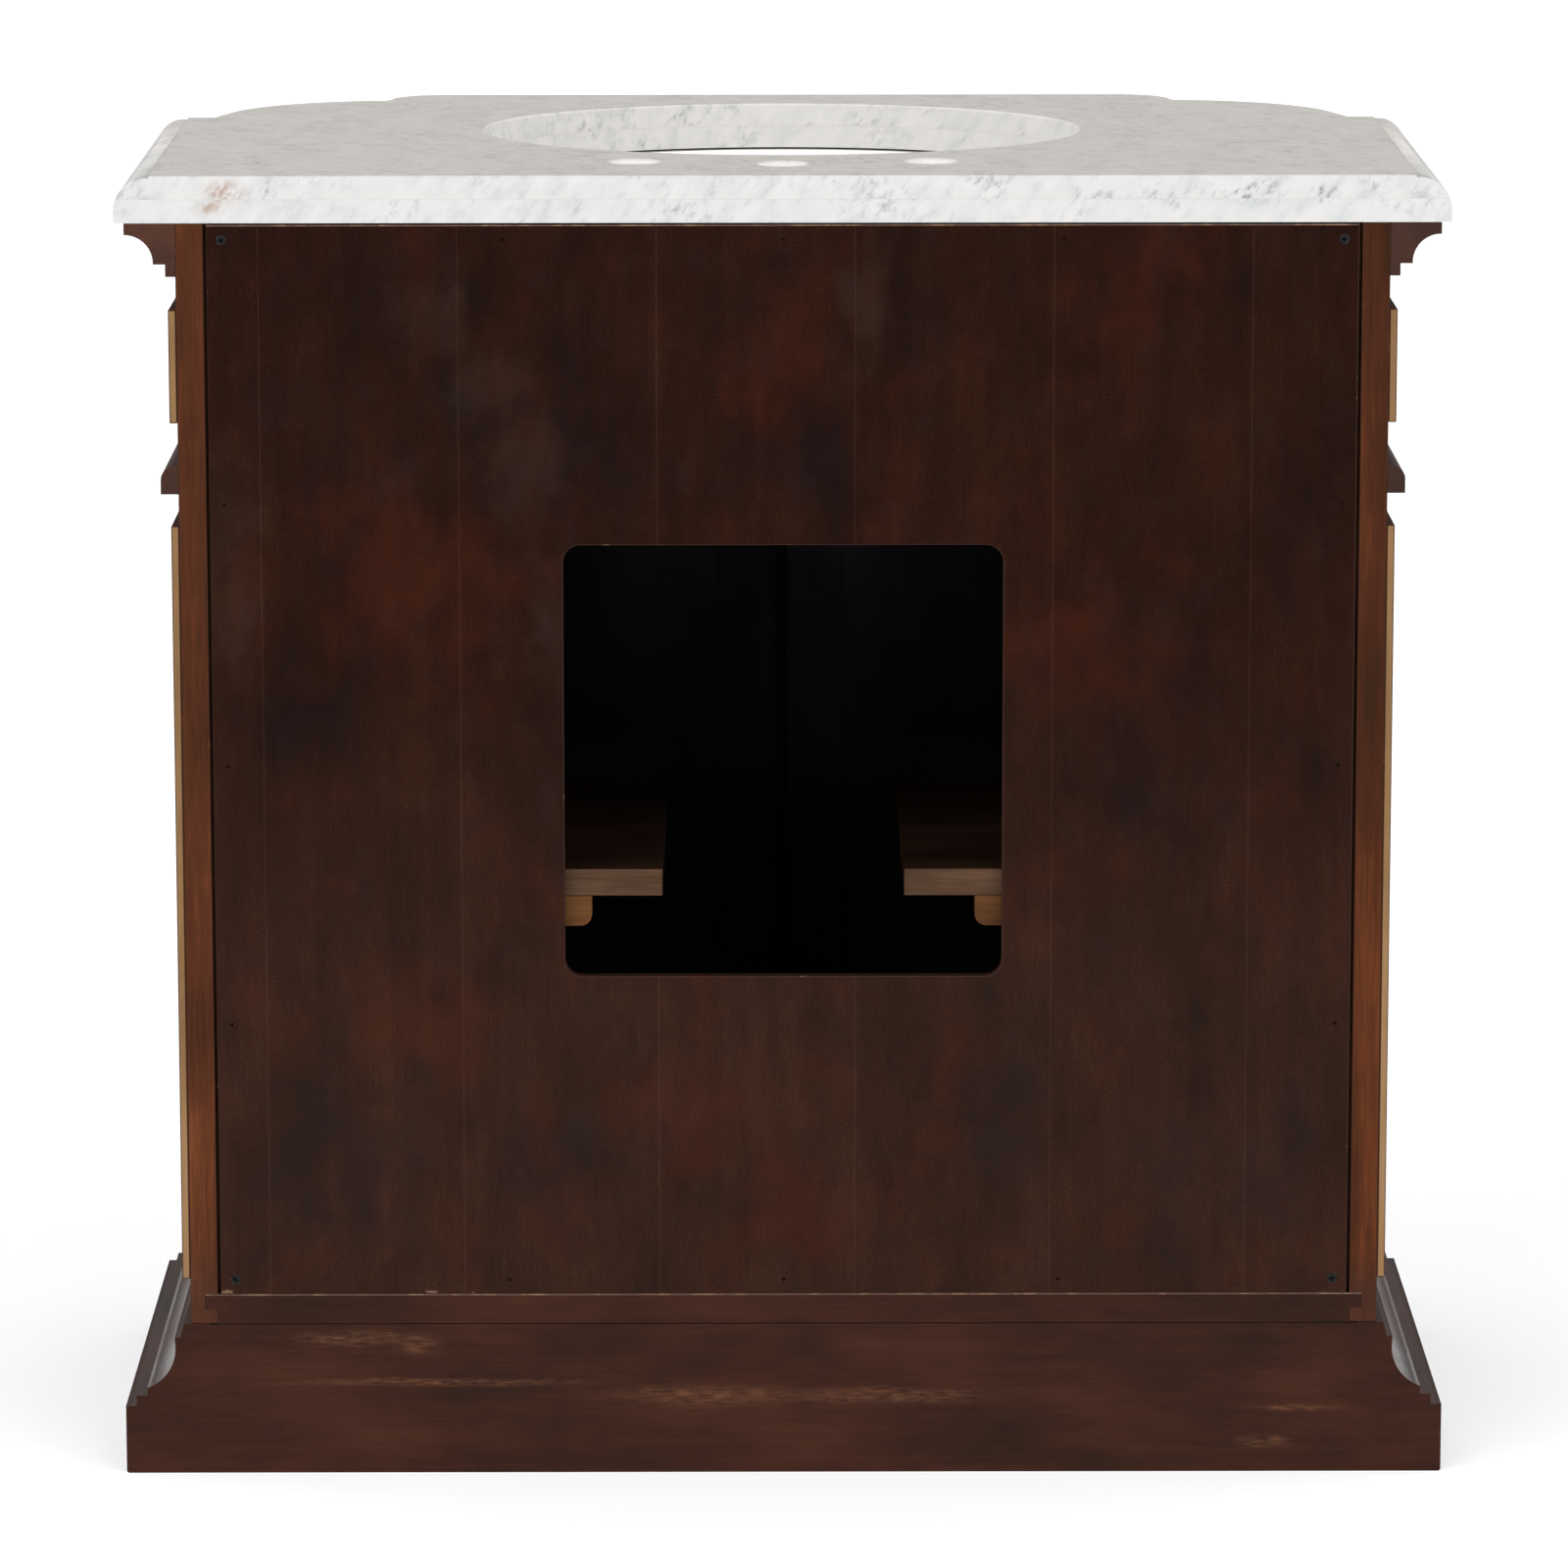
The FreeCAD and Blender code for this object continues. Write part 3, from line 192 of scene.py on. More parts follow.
def stained_wood(name, axis, codes, shine, foot=None):
    """Stained wood; foot is the darker stain that an upright board took at its lower end."""
    material, tree, shader, place = new_material(name)
    tone, fibre, blotch = wood_grain(tree, place, axis)
    colour = add(tree, "ShaderNodeValToRGB", {"Fac": tone}, stops_of(codes)).outputs["Color"]
    if foot:
        height = add(tree, "ShaderNodeSeparateXYZ", {"Vector": place}).outputs["Z"]
        low = add(tree, "ShaderNodeMapRange", {"Value": height, "From Min": FOOT_TOP, "From Max": FOOT_LOW},
                  interpolation_type="SMOOTHSTEP").outputs["Result"]
        dark = add(tree, "ShaderNodeValToRGB", {"Fac": tone}, stops_of(foot)).outputs["Color"]
        colour = add(tree, "ShaderNodeMix", {0: low, 6: colour, 7: dark}, data_type="RGBA").outputs[2]
    finish_wood(tree, shader, colour, fibre, blotch, shine)
    return material


WALNUT = ("#2a150c", "#371d11", "#482616")
walnut = {axis: stained_wood(f"walnut_stain_{axis}", axis, WALNUT, shine=0.22) for axis in "xyz"}
FOOT_STAIN = {"left": ("#2c170d", "#3c2015", "#4a291b"), "right": ("#341d11", "#452719", "#563220")}
FOOT_LOW = 0.125
FOOT_TOP = 0.165
SIDE_STAIN = {"left": ("#2f1809", "#42200e", "#5d3017"), "right": ("#351b0b", "#4b2613", "#68391e")}
side_walnut = {side: stained_wood(f"walnut_stain_{side}_side", "z", codes, shine=0.08, foot=FOOT_STAIN[side])
               for side, codes in SIDE_STAIN.items()}
print(f"walnut stains: {len(walnut) + len(side_walnut)}")

# %% [markdown]
# ## Boards with two finishes
#
# Some boards were stained first and cut afterwards. The applied side panels show bare tan wood where
# they were sawn off at the back. The shelves have darker tops with painted shade and paler rear edges as
# painted light, and the doors are painted almost black inside as painted shade. The surface's own
# direction tells such a face apart: it is the one that looks backwards.


# %% Boards whose rear face differs
REAR_FACING = 0.6


def two_faced_wood(name, axis, codes, rear_codes, shine):
    """Stained wood whose faces that look backwards have other colours: bare tan on sawn ends, painted light
    on the shelves' edges, painted shade inside the doors.
    """
    material, tree, shader, place = new_material(name)
    tone, fibre, blotch = wood_grain(tree, place, axis)
    colour = add(tree, "ShaderNodeValToRGB", {"Fac": tone}, stops_of(codes)).outputs["Color"]
    rear = add(tree, "ShaderNodeValToRGB", {"Fac": tone}, stops_of(rear_codes)).outputs["Color"]
    facing = add(tree, "ShaderNodeTexCoord").outputs["Normal"]
    backwards = add(tree, "ShaderNodeSeparateXYZ", {"Vector": facing}).outputs["Y"]
    is_rear = add(tree, "ShaderNodeMath", {0: backwards, 1: REAR_FACING}, operation="GREATER_THAN").outputs[0]
    colour = add(tree, "ShaderNodeMix", {0: is_rear, 6: colour, 7: rear}, data_type="RGBA").outputs[2]
    finish_wood(tree, shader, colour, fibre, blotch, shine)
    return material


TAN_WOOD = ("#6d4f32", "#7e5f3c", "#8d6d4a")
# painted shade: the doors' insides are painted almost black
INSIDE_PAINTED_SHADE = ("#050302", "#080503", "#0c0805")
# painted shade: the door stop is near black, standing in for the shade between the doors
STOP_PAINTED_SHADE = ("#050403", "#080605", "#0c0907")
# painted shade darkens the shelves' tops, and painted light makes their rear edges paler
SHELF_TOP_STAIN_AND_SHADE = ("#170e09", "#20140d", "#2c1d14")
SHELF_EDGE_PAINTED_LIGHT = ("#372618", "#4a3526", "#604736")
sawn_panel = two_faced_wood("walnut_stain_sawn_end", "z", WALNUT, TAN_WOOD, shine=0.2)
shelf_wood_painted_light_and_shade = two_faced_wood("walnut_stain_shelf_painted_light_and_shade", "x", SHELF_TOP_STAIN_AND_SHADE, SHELF_EDGE_PAINTED_LIGHT, shine=0.06)
door_wood_shaded_inside = {axis: two_faced_wood(f"walnut_stain_door_shaded_inside_{axis}", axis, WALNUT, INSIDE_PAINTED_SHADE, shine=0.12)
             for axis in "xz"}
painted_shade_wood = stained_wood("walnut_stain_stop_painted_shade", "z", STOP_PAINTED_SHADE, shine=0.05)
print("boards with two finishes: panels, shelves, doors")

# %% [markdown]
# ## The back panel
#
# The back is a plywood sheet faced with narrow veneer strips. The stain dried in clouds: some reddish,
# some nearly black, and lower down in drawn-out smudges. Handling has left pale hazes near the top and
# beside the opening, and the veneer joints show as pale hairlines 135 mm apart. Clouds that the eye
# would look for are soft spots at chosen places, with a noise pulling at their outlines. The rest is noise.


# %% Soft spots
CLOUD_DRAG = (1.0, 1.0, 0.7)
NOISE_MIDDLE = 0.5


def soft_spots(tree, place, spots, wander_mm=34.0, wander=0.05, y=0.0, deep=None):
    """A mask that is 1 at each spot's middle and fades to its half-sizes; a spot is (x, z, wide, high).
    With a half-depth, the spots stay that near to the plane at y."""
    thin = 1 / deep if deep else 0.0
    drift = add(tree, "ShaderNodeTexNoise", {"Vector": place, "Scale": per_mm(wander_mm), "Detail": 4.0})
    centred = add(tree, "ShaderNodeVectorMath", {0: drift.outputs["Color"], 1: (NOISE_MIDDLE,) * 3},
                  operation="SUBTRACT").outputs[0]
    moved = add(tree, "ShaderNodeVectorMath", {0: centred, 1: (wander,) * 3, 2: place},
                operation="MULTIPLY_ADD").outputs[0]
    total = None
    for x, z, wide, high in spots:
        offset = add(tree, "ShaderNodeVectorMath", {0: moved, 1: (x, y, z)}, operation="SUBTRACT").outputs[0]
        scaled = add(tree, "ShaderNodeVectorMath", {0: offset, 1: (1 / wide, thin, 1 / high)},
                     operation="MULTIPLY").outputs[0]
        away = add(tree, "ShaderNodeVectorMath", {0: scaled}, operation="LENGTH").outputs["Value"]
        spot = add(tree, "ShaderNodeMapRange", {"Value": away, "From Min": 1.0, "From Max": 0.0},
                   interpolation_type="SMOOTHERSTEP").outputs["Result"]
        total = spot if total is None else add(tree, "ShaderNodeMath", {0: total, 1: spot},
                                               operation="MAXIMUM").outputs[0]
    return total


def stain_cloud(tree, place, spots, size_mm, gain, low, high, start):
    """Noise clouds that show most round the spots; start is where in the noise they are read."""
    wide = add(tree, "ShaderNodeMapping", {"Vector": place, "Location": start, "Scale": CLOUD_DRAG})
    noise = add(tree, "ShaderNodeTexNoise", {"Vector": wide.outputs["Vector"], "Scale": per_mm(size_mm),
                                             "Detail": 5.0, "Roughness": 0.6}).outputs["Fac"]
    near = soft_spots(tree, place, spots)
    depth = add(tree, "ShaderNodeMath", {0: near, 1: gain, 2: noise}, operation="MULTIPLY_ADD").outputs[0]
    return add(tree, "ShaderNodeMapRange", {"Value": depth, "From Min": low, "From Max": high},
               interpolation_type="SMOOTHSTEP").outputs["Result"]


print(f"clouds are drawn out {1 / CLOUD_DRAG[2]:.1f} times as high as wide")

# %% [markdown]
# The layers go on in the order in which the real sheet got them: the fibres and their stain, then the
# clouds and hazes, the hairlines between the strips, and last the chips. The first layer also carries
# painted shade high up under the marble and painted light, paler and greyer, towards the foot.
# Each layer mixes its colour over those below. A fine speckle in the first one stands for the pores.

# %% Back panel veneer
STRIP_WIDTH = 0.13475
STRIP_START = 0.0494
JOINT_SHARES = (0.004, 0.009)
# the stain with painted shade high up, and with painted light low down
STAIN_UNDER_PAINTED_SHADE = ("#180b06", "#200e08", "#29140b")
STAIN_UNDER_PAINTED_LIGHT = ("#231610", "#2c1a13", "#352018")
PAINTED_SHADE_HEIGHT = 0.62
PAINTED_LIGHT_HEIGHT = 0.30
PORE_MM = 1.7
PORE_WEIGHT = 0.45
RED_CLOUDS = ((0.026, 0.772, 0.07, 0.07), (0.254, 0.636, 0.12, 0.11), (-0.202, 0.588, 0.10, 0.13),
              (0.066, 0.240, 0.09, 0.07), (-0.235, 0.834, 0.12, 0.08), (0.247, 0.315, 0.09, 0.09),
              (-0.014, 0.192, 0.12, 0.06))
DARK_CLOUDS = ((0.147, 0.718, 0.11, 0.11), (0.328, 0.540, 0.09, 0.08), (0.288, 0.738, 0.09, 0.08),
               (-0.010, 0.704, 0.10, 0.07), (-0.255, 0.513, 0.09, 0.14), (-0.352, 0.640, 0.05, 0.10))
SMUDGES = ((0.314, 0.213, 0.11, 0.11), (0.153, 0.220, 0.09, 0.06), (-0.155, 0.247, 0.05, 0.10),
           (-0.275, 0.206, 0.05, 0.10), (-0.335, 0.220, 0.05, 0.11))
HAZES = ((0.233, 0.809, 0.04, 0.06), (0.201, 0.762, 0.06, 0.06), (0.175, 0.710, 0.06, 0.07),
         (0.159, 0.605, 0.03, 0.08), (0.375, 0.637, 0.04, 0.15), (-0.058, 0.815, 0.03, 0.08))
CHIPS = ((0.386, 0.129, 0.008, 0.003), (0.244, 0.129, 0.008, 0.002), (0.217, 0.128, 0.005, 0.0015),
         (-0.390, 0.238, 0.0012, 0.030))
# each: spots, cloud size in mm, gain at a spot, noise where it starts and is full, colour, opacity, start
STAIN_CLOUDS = ((RED_CLOUDS, 46.0, 0.22, 0.48, 0.86, "#421b0f", 0.4, (0.0, 0.0, 0.0)),
                (DARK_CLOUDS, 40.0, 0.22, 0.48, 0.86, "#140c0d", 0.6, (3.1, 0.0, 1.7)),
                (SMUDGES, 32.0, 0.24, 0.5, 0.86, "#1f1718", 0.55, (5.3, 0.0, 4.2)),
                (HAZES, 26.0, 0.4, 0.45, 1.15, "#5c463d", 0.11, (7.7, 0.0, 2.9)))


def back_veneer():
    material, tree, shader, place = new_material("stained_veneer_plywood")
    tone, fibre, blotch = wood_grain(tree, place, "z", figure_mm=16.0, blotch_mm=60.0)
    pores = add(tree, "ShaderNodeTexNoise", {"Vector": place, "Scale": per_mm(PORE_MM), "Detail": 2.0})
    pores = add(tree, "ShaderNodeMath", {0: pores.outputs["Fac"], 1: NOISE_MIDDLE},
                operation="SUBTRACT").outputs[0]
    tone = add(tree, "ShaderNodeMath", {0: pores, 1: PORE_WEIGHT, 2: tone},
               operation="MULTIPLY_ADD").outputs[0]
    axes = add(tree, "ShaderNodeSeparateXYZ", {"Vector": place})
    upper = add(tree, "ShaderNodeValToRGB", {"Fac": tone}, stops_of(STAIN_UNDER_PAINTED_SHADE)).outputs["Color"]
    lower = add(tree, "ShaderNodeValToRGB", {"Fac": tone}, stops_of(STAIN_UNDER_PAINTED_LIGHT)).outputs["Color"]
    # painted shade high up under the marble, painted light, paler and greyer, towards the foot
    painted_light_low_down = add(tree, "ShaderNodeMapRange", {
        "Value": axes.outputs["Z"], "From Min": PAINTED_SHADE_HEIGHT, "From Max": PAINTED_LIGHT_HEIGHT},
        interpolation_type="SMOOTHSTEP").outputs["Result"]
    colour = add(tree, "ShaderNodeMix", {0: painted_light_low_down, 6: upper, 7: lower}, data_type="RGBA").outputs[2]
    # clouds of stain, then pale handling marks
    for spots, size_mm, gain, low, high, code, opacity, start in STAIN_CLOUDS:
        cloud = stain_cloud(tree, place, spots, size_mm, gain, low, high, start)
        cloud = add(tree, "ShaderNodeMath", {0: cloud, 1: opacity}, operation="MULTIPLY").outputs[0]
        colour = add(tree, "ShaderNodeMix", {0: cloud, 6: colour, 7: linear(code)},
                     data_type="RGBA").outputs[2]
    # pale hairlines where two strips of veneer meet
    strip = add(tree, "ShaderNodeMath", {0: axes.outputs["X"], 1: STRIP_START}, operation="ADD").outputs[0]
    strip = add(tree, "ShaderNodeMath", {0: strip, 1: STRIP_WIDTH}, operation="DIVIDE").outputs[0]
    joint = add(tree, "ShaderNodeMath", {0: strip}, operation="FRACT").outputs[0]
    joint = add(tree, "ShaderNodeMapRange", {
        "Value": joint, "From Min": JOINT_SHARES[0], "From Max": JOINT_SHARES[1], "To Min": 0.2,
        "To Max": 0.0}).outputs["Result"]
    joint = add(tree, "ShaderNodeMath", {0: joint, 1: blotch}, operation="MULTIPLY").outputs[0]
    colour = add(tree, "ShaderNodeMix", {0: joint, 6: colour, 7: linear("#6a4a3a")},
                 data_type="RGBA").outputs[2]
    # chips along the panel's lower and right edges, down to the pale core
    chip = soft_spots(tree, place, CHIPS, wander_mm=2.5, wander=0.004)
    chip = add(tree, "ShaderNodeMapRange", {"Value": chip, "From Min": 0.3, "From Max": 0.55})
    colour = add(tree, "ShaderNodeMix", {0: chip.outputs["Result"], 6: colour, 7: linear("#6b5244")},
                 data_type="RGBA").outputs[2]
    finish_wood(tree, shader, colour, fibre, blotch, shine=0.03, smooth=0.5, rough=0.65)
    return material


veneer = back_veneer()
print(f"back panel: clouds {[len(cloud[0]) for cloud in STAIN_CLOUDS]}, chips {len(CHIPS)}")

# %% [markdown]
# ## The plinth
#
# The plinth's back board has been dragged and knocked. Long pale scuffs run along it, where the stain was
# rubbed through to the wood. They are a noise stretched along the board and kept to a few soft spots.

# %% Plinth boards
SCUFFS = ((0.300, 0.096, 0.065, 0.010), (0.255, 0.0915, 0.026, 0.013), (0.240, 0.0645, 0.160, 0.0045),
          (0.050, 0.055, 0.110, 0.012), (-0.070, 0.0545, 0.120, 0.010), (-0.355, 0.046, 0.050, 0.004),
          (-0.334, 0.022, 0.030, 0.008))
SCUFF_DRAG = (0.12, 1.0, 1.0)
SCUFF_MM = 1.5
PLINTH_STAIN = ("#24150e", "#321a11", "#3e2116")


def plinth_wood(name, axis, scuffed, shine=0.08, smooth=0.42, rough=0.62):
    """Stained wood with a finer figure; scuffed adds the pale marks of the back board."""
    material, tree, shader, place = new_material(name)
    tone, fibre, blotch = wood_grain(tree, place, axis, fibre_mm=1.0, figure_mm=6.0, blotch_mm=60.0,
                                     weights=(0.2, 0.2, 0.6))
    colour = add(tree, "ShaderNodeValToRGB", {"Fac": tone}, stops_of(PLINTH_STAIN)).outputs["Color"]
    if scuffed:
        where = soft_spots(tree, place, SCUFFS, wander_mm=60.0, wander=0.008)
        drawn = add(tree, "ShaderNodeMapping", {"Vector": place, "Scale": SCUFF_DRAG}).outputs["Vector"]
        streak = add(tree, "ShaderNodeTexNoise", {
            "Vector": drawn, "Scale": per_mm(SCUFF_MM), "Detail": 5.0, "Roughness": 0.65}).outputs["Fac"]
        streak = add(tree, "ShaderNodeMapRange", {"Value": streak, "From Min": 0.4, "From Max": 0.7,
                                                  "To Min": 0.0, "To Max": 0.8}).outputs["Result"]
        scuff = add(tree, "ShaderNodeMath", {0: where, 1: streak}, operation="MULTIPLY").outputs[0]
        colour = add(tree, "ShaderNodeMix", {0: scuff, 6: colour, 7: linear("#6b4732")},
                     data_type="RGBA").outputs[2]
    finish_wood(tree, shader, colour, fibre, blotch, shine, smooth, rough)
    return material


plinth_side = plinth_wood("walnut_stain_plinth_side", "y", scuffed=False, shine=0.42, smooth=0.26, rough=0.4)
plinth_long = plinth_wood("walnut_stain_plinth_long", "x", scuffed=False)
plinth_back = plinth_wood("walnut_stain_plinth_scuffed", "x", scuffed=True)
print(f"plinth scuffs: {len(SCUFFS)}")

# %% [markdown]
# ## Bare wood and rubbed arrises
#
# The cleats were never stained. Where an arris was knocked or sanded, the stain has chipped off and the
# same wood shows as a broken pale line.


# %% Bare wood and rubbed arrises
NOISE_LOW = 0.32
NOISE_HIGH = 0.68
CHIP_MM = 14.0
CHIP_FADE = 0.1


def rubbed_arris(name, stain, bare, share):
    """Stain with bare wood showing through in chips a few millimetres long, over this share of it."""
    material, tree, shader, place = new_material(name)
    chips = add(tree, "ShaderNodeTexNoise", {
        "Vector": place, "Scale": per_mm(CHIP_MM), "Detail": 6.0, "Roughness": 0.7}).outputs["Fac"]
    edge = NOISE_HIGH - (NOISE_HIGH - NOISE_LOW) * share
    worn = add(tree, "ShaderNodeMapRange", {"Value": chips, "From Min": edge, "From Max": edge + CHIP_FADE})
    colour = add(tree, "ShaderNodeMix", {0: worn.outputs["Result"], 6: linear(stain), 7: linear(bare)},
                 data_type="RGBA").outputs[2]
    tree.links.new(colour, shader.inputs["Base Color"])
    shader.inputs["Roughness"].default_value = 0.6
    shader.inputs["Specular IOR Level"].default_value = 0.1
    return material


BEECH = ("#3e2510", "#53341b", "#684425")
beech = {axis: stained_wood(f"bare_beech_{axis}", axis, BEECH, shine=0.08) for axis in "xz"}
# dark, with a brown fleck here and there
rubbed = rubbed_arris("walnut_stain_rubbed_arris", "#3a2014", "#54331f", share=0.25)
# worn to a grey-brown line all along
polished = rubbed_arris("walnut_stain_polished_arris", "#5f4a3f", "#846a58", share=0.5)
# the palest, where hands and cloths have passed most often
bright = rubbed_arris("walnut_stain_bright_arris", "#73594c", "#9f806a", share=0.5)
# dark, with a few pale chips
chipped = rubbed_arris("walnut_stain_chipped_arris", "#332119", "#80634c", share=0.12)
print("bare wood and four rubbed arrises")

# %% [markdown]
# ## Marble
#
# The top is a white Carrara marble: soft grey clouds, short grey streaks that all lean one way, and here
# and there a thin darker vein. A rust-coloured stain sits near one corner. The two layers were cut from
# different places in the block, which is why the pattern breaks at the glue line. The pattern is solid, so
# it runs from the face over the rounded edge and down the wall of the sink hole as in a sawn block. The
# faces are honed rather than polished: they give back a broad soft sheen, not a picture of the lights.

# %% Marble
RUST_STAIN = ((0.378, 0.894, 0.022, 0.016), (0.388, 0.883, 0.014, 0.008))
DARK_VEINS = ((-0.315, 0.894, 0.045, 0.014), (-0.366, 0.892, 0.014, 0.010), (0.350, 0.897, 0.008, 0.010))
GLUE_HALF = 0.0003
LEAN = Vector((-0.55, 0.5, 0.67))
UPRIGHT = LEAN.rotation_difference(Vector((0, 0, 1))).to_euler()
STREAK_DRAG = (1.0, 0.8, 0.3)
MARBLE_TONES = ((0.3, "#b8babb"), (0.44, "#c4c4c3"), (0.62, "#cac9c8"))
SPOT_DEPTH = 0.04
CLOUD_MM = 11.0
PATCH_MM = 34.0
STREAK_MM = 5.0
FLECK_MM = 4.0
FLECK_FADE = 0.2
GLUE_OPACITY = 0.35
HOLE_MOTTLE_MM = 3.0


def carrara(name, offset, glue_line, back_edge):
    """Honed white marble; offset is where in the block the slab was cut."""
    material, tree, shader, place = new_material(name)
    block = add(tree, "ShaderNodeMapping", {"Vector": place, "Location": offset}).outputs["Vector"]
    lean = add(tree, "ShaderNodeMapping", {"Vector": block, "Rotation": UPRIGHT}).outputs["Vector"]
    drawn = add(tree, "ShaderNodeMapping", {"Vector": lean, "Scale": STREAK_DRAG}).outputs["Vector"]
    clouds = add(tree, "ShaderNodeTexNoise", {
        "Vector": drawn, "Scale": per_mm(CLOUD_MM), "Detail": 5.0, "Roughness": 0.55}).outputs["Fac"]
    colour = add(tree, "ShaderNodeValToRGB", {"Fac": clouds}, MARBLE_TONES).outputs["Color"]
    # short leaning streaks, only in some places
    where = add(tree, "ShaderNodeTexNoise", {"Vector": block, "Scale": per_mm(PATCH_MM), "Detail": 3.0})
    where = add(tree, "ShaderNodeMapRange", {
        "Value": where.outputs["Fac"], "From Min": 0.47, "From Max": 0.68}).outputs["Result"]
    streak = add(tree, "ShaderNodeTexNoise", {"Vector": drawn, "Scale": per_mm(STREAK_MM), "Detail": 5.0,
                                              "Roughness": 0.6, "Distortion": 0.3}).outputs["Fac"]
    streak = add(tree, "ShaderNodeMapRange", {
        "Value": streak, "From Min": 0.5, "From Max": 0.7, "To Min": 0.0, "To Max": 0.8}).outputs["Result"]
    streak = add(tree, "ShaderNodeMath", {0: streak, 1: where}, operation="MULTIPLY").outputs[0]
    colour = add(tree, "ShaderNodeMix", {0: streak, 6: colour, 7: linear("#868b8f")},
                 data_type="RGBA").outputs[2]
    # a few dark veins and a rust stain at chosen places
    flecks = add(tree, "ShaderNodeTexNoise", {
        "Vector": drawn, "Scale": per_mm(FLECK_MM), "Detail": 5.0, "Roughness": 0.65}).outputs["Fac"]
    for spots, code, low in ((DARK_VEINS, "#73787b", 0.5), (RUST_STAIN, "#a8968c", 0.36)):
        spot = soft_spots(tree, place, spots, wander_mm=12.0, wander=0.012, y=back_edge, deep=SPOT_DEPTH)
        broken = add(tree, "ShaderNodeMapRange", {
            "Value": flecks, "From Min": low, "From Max": low + FLECK_FADE})
        spot = add(tree, "ShaderNodeMath", {0: spot, 1: broken.outputs["Result"]},
                   operation="MULTIPLY").outputs[0]
        colour = add(tree, "ShaderNodeMix", {0: spot, 6: colour, 7: linear(code)},
                     data_type="RGBA").outputs[2]
    # the glue line between the layers
    height = add(tree, "ShaderNodeSeparateXYZ", {"Vector": place}).outputs["Z"]
    glue = add(tree, "ShaderNodeMath", {0: height, 1: glue_line, 2: GLUE_HALF}, operation="COMPARE")
    glue = add(tree, "ShaderNodeMath", {0: glue.outputs[0], 1: GLUE_OPACITY},
               operation="MULTIPLY").outputs[0]
    colour = add(tree, "ShaderNodeMix", {0: glue, 6: colour, 7: linear("#b8b0a4")},
                 data_type="RGBA").outputs[2]
    # painted shade: the level faces are darkened, since the top is lit less than the edges, which stay whiter
    facing = add(tree, "ShaderNodeTexCoord").outputs["Normal"]
    upwards = add(tree, "ShaderNodeSeparateXYZ", {"Vector": facing}).outputs["Z"]
    level_faces_in_painted_shade = add(tree, "ShaderNodeMapRange", {"Value": upwards, "From Min": 0.75, "From Max": 0.97})
    colour = add(tree, "ShaderNodeMix", {0: level_faces_in_painted_shade.outputs["Result"], 6: colour, 7: linear("#f0eeeb")},
                 data_type="RGBA", blend_type="MULTIPLY").outputs[2]
    tree.links.new(colour, shader.inputs["Base Color"])
    gloss = add(tree, "ShaderNodeMapRange", {
        "Value": clouds, "From Min": 0.3, "From Max": 0.7, "To Min": 0.46, "To Max": 0.48}).outputs["Result"]
    tree.links.new(gloss, shader.inputs["Roughness"])
    shader.inputs["Specular IOR Level"].default_value = 0.22
    return material


def hole_walls_painted_light():
    """Matt and whiter than the honed face: painted light on the walls of the faucet holes, which get less
    light than the edges.
    """
    material, tree, shader, place = new_material("carrara_marble_hole_painted_light")
    hole_mottle = add(tree, "ShaderNodeTexNoise", {"Vector": place, "Scale": per_mm(HOLE_MOTTLE_MM), "Detail": 4.0})
    colour = add(tree, "ShaderNodeValToRGB", {"Fac": hole_mottle.outputs["Fac"]},
                 ((0.35, "#e9e9e6"), (0.65, "#f2f1ee")))
    tree.links.new(colour.outputs["Color"], shader.inputs["Base Color"])
    shader.inputs["Roughness"].default_value = 0.7
    return material


glue_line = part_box("marble_lower_slab")[1][2]
back_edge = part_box("marble_top_slab")[1][1]
upper_marble = carrara("carrara_marble_upper", (0.0, 0.0, 0.0), glue_line, back_edge)
lower_marble = carrara("carrara_marble_lower", (0.73, 0.41, 0.2), glue_line, back_edge)
strip_marble = carrara("carrara_marble_strips", (1.31, 0.9, 0.55), glue_line, back_edge)
hole_marble_painted_light = hole_walls_painted_light()
print(f"marble with a glue line at {glue_line * 1000:.1f} mm")

# %% [markdown]
# ## Ceramic, seal and metals
#
# The bowl is vitreous china: a thick white glaze with a faint orange-peel surface. It is bedded in grey
# sealant. The screws are blackened steel gone grey, the clips zinc-plated, and the hinges and knobs are
# brass that has been left to darken.


# %% Ceramic, seal and metals
def uneven_skin(name, dark, light, lump_mm, detail, strength, height, roughness):
    """A poured or squeezed surface: soft lumps of this size and height, slightly uneven in colour."""
    material, tree, shader, place = new_material(name)
    lumps = add(tree, "ShaderNodeTexNoise", {"Vector": place, "Scale": per_mm(lump_mm), "Detail": detail})
    lumps = lumps.outputs["Fac"]
    colour = add(tree, "ShaderNodeValToRGB", {"Fac": lumps}, ((0.3, dark), (0.7, light)))
    relief = add(tree, "ShaderNodeBump", {"Height": lumps, "Strength": strength, "Distance": height})
    tree.links.new(colour.outputs["Color"], shader.inputs["Base Color"])
    tree.links.new(relief.outputs["Normal"], shader.inputs["Normal"])
    shader.inputs["Roughness"].default_value = roughness
    return material


def worked_metal(name, dark, light, smooth, rough, grain_mm):
    """Metal with a mottled patina; smooth and rough are the ends of its roughness."""
    material, tree, shader, place = new_material(name)
    patina = add(tree, "ShaderNodeTexNoise", {
        "Vector": place, "Scale": per_mm(grain_mm), "Detail": 6.0, "Roughness": 0.65}).outputs["Fac"]
    colour = add(tree, "ShaderNodeValToRGB", {"Fac": patina}, ((0.35, dark), (0.65, light))).outputs["Color"]
    gloss = add(tree, "ShaderNodeMapRange", {"Value": patina, "From Min": 0.3, "From Max": 0.7,
                                             "To Min": rough, "To Max": smooth}).outputs["Result"]
    tree.links.new(colour, shader.inputs["Base Color"])
    tree.links.new(gloss, shader.inputs["Roughness"])
    shader.inputs["Metallic"].default_value = 1.0
    return material


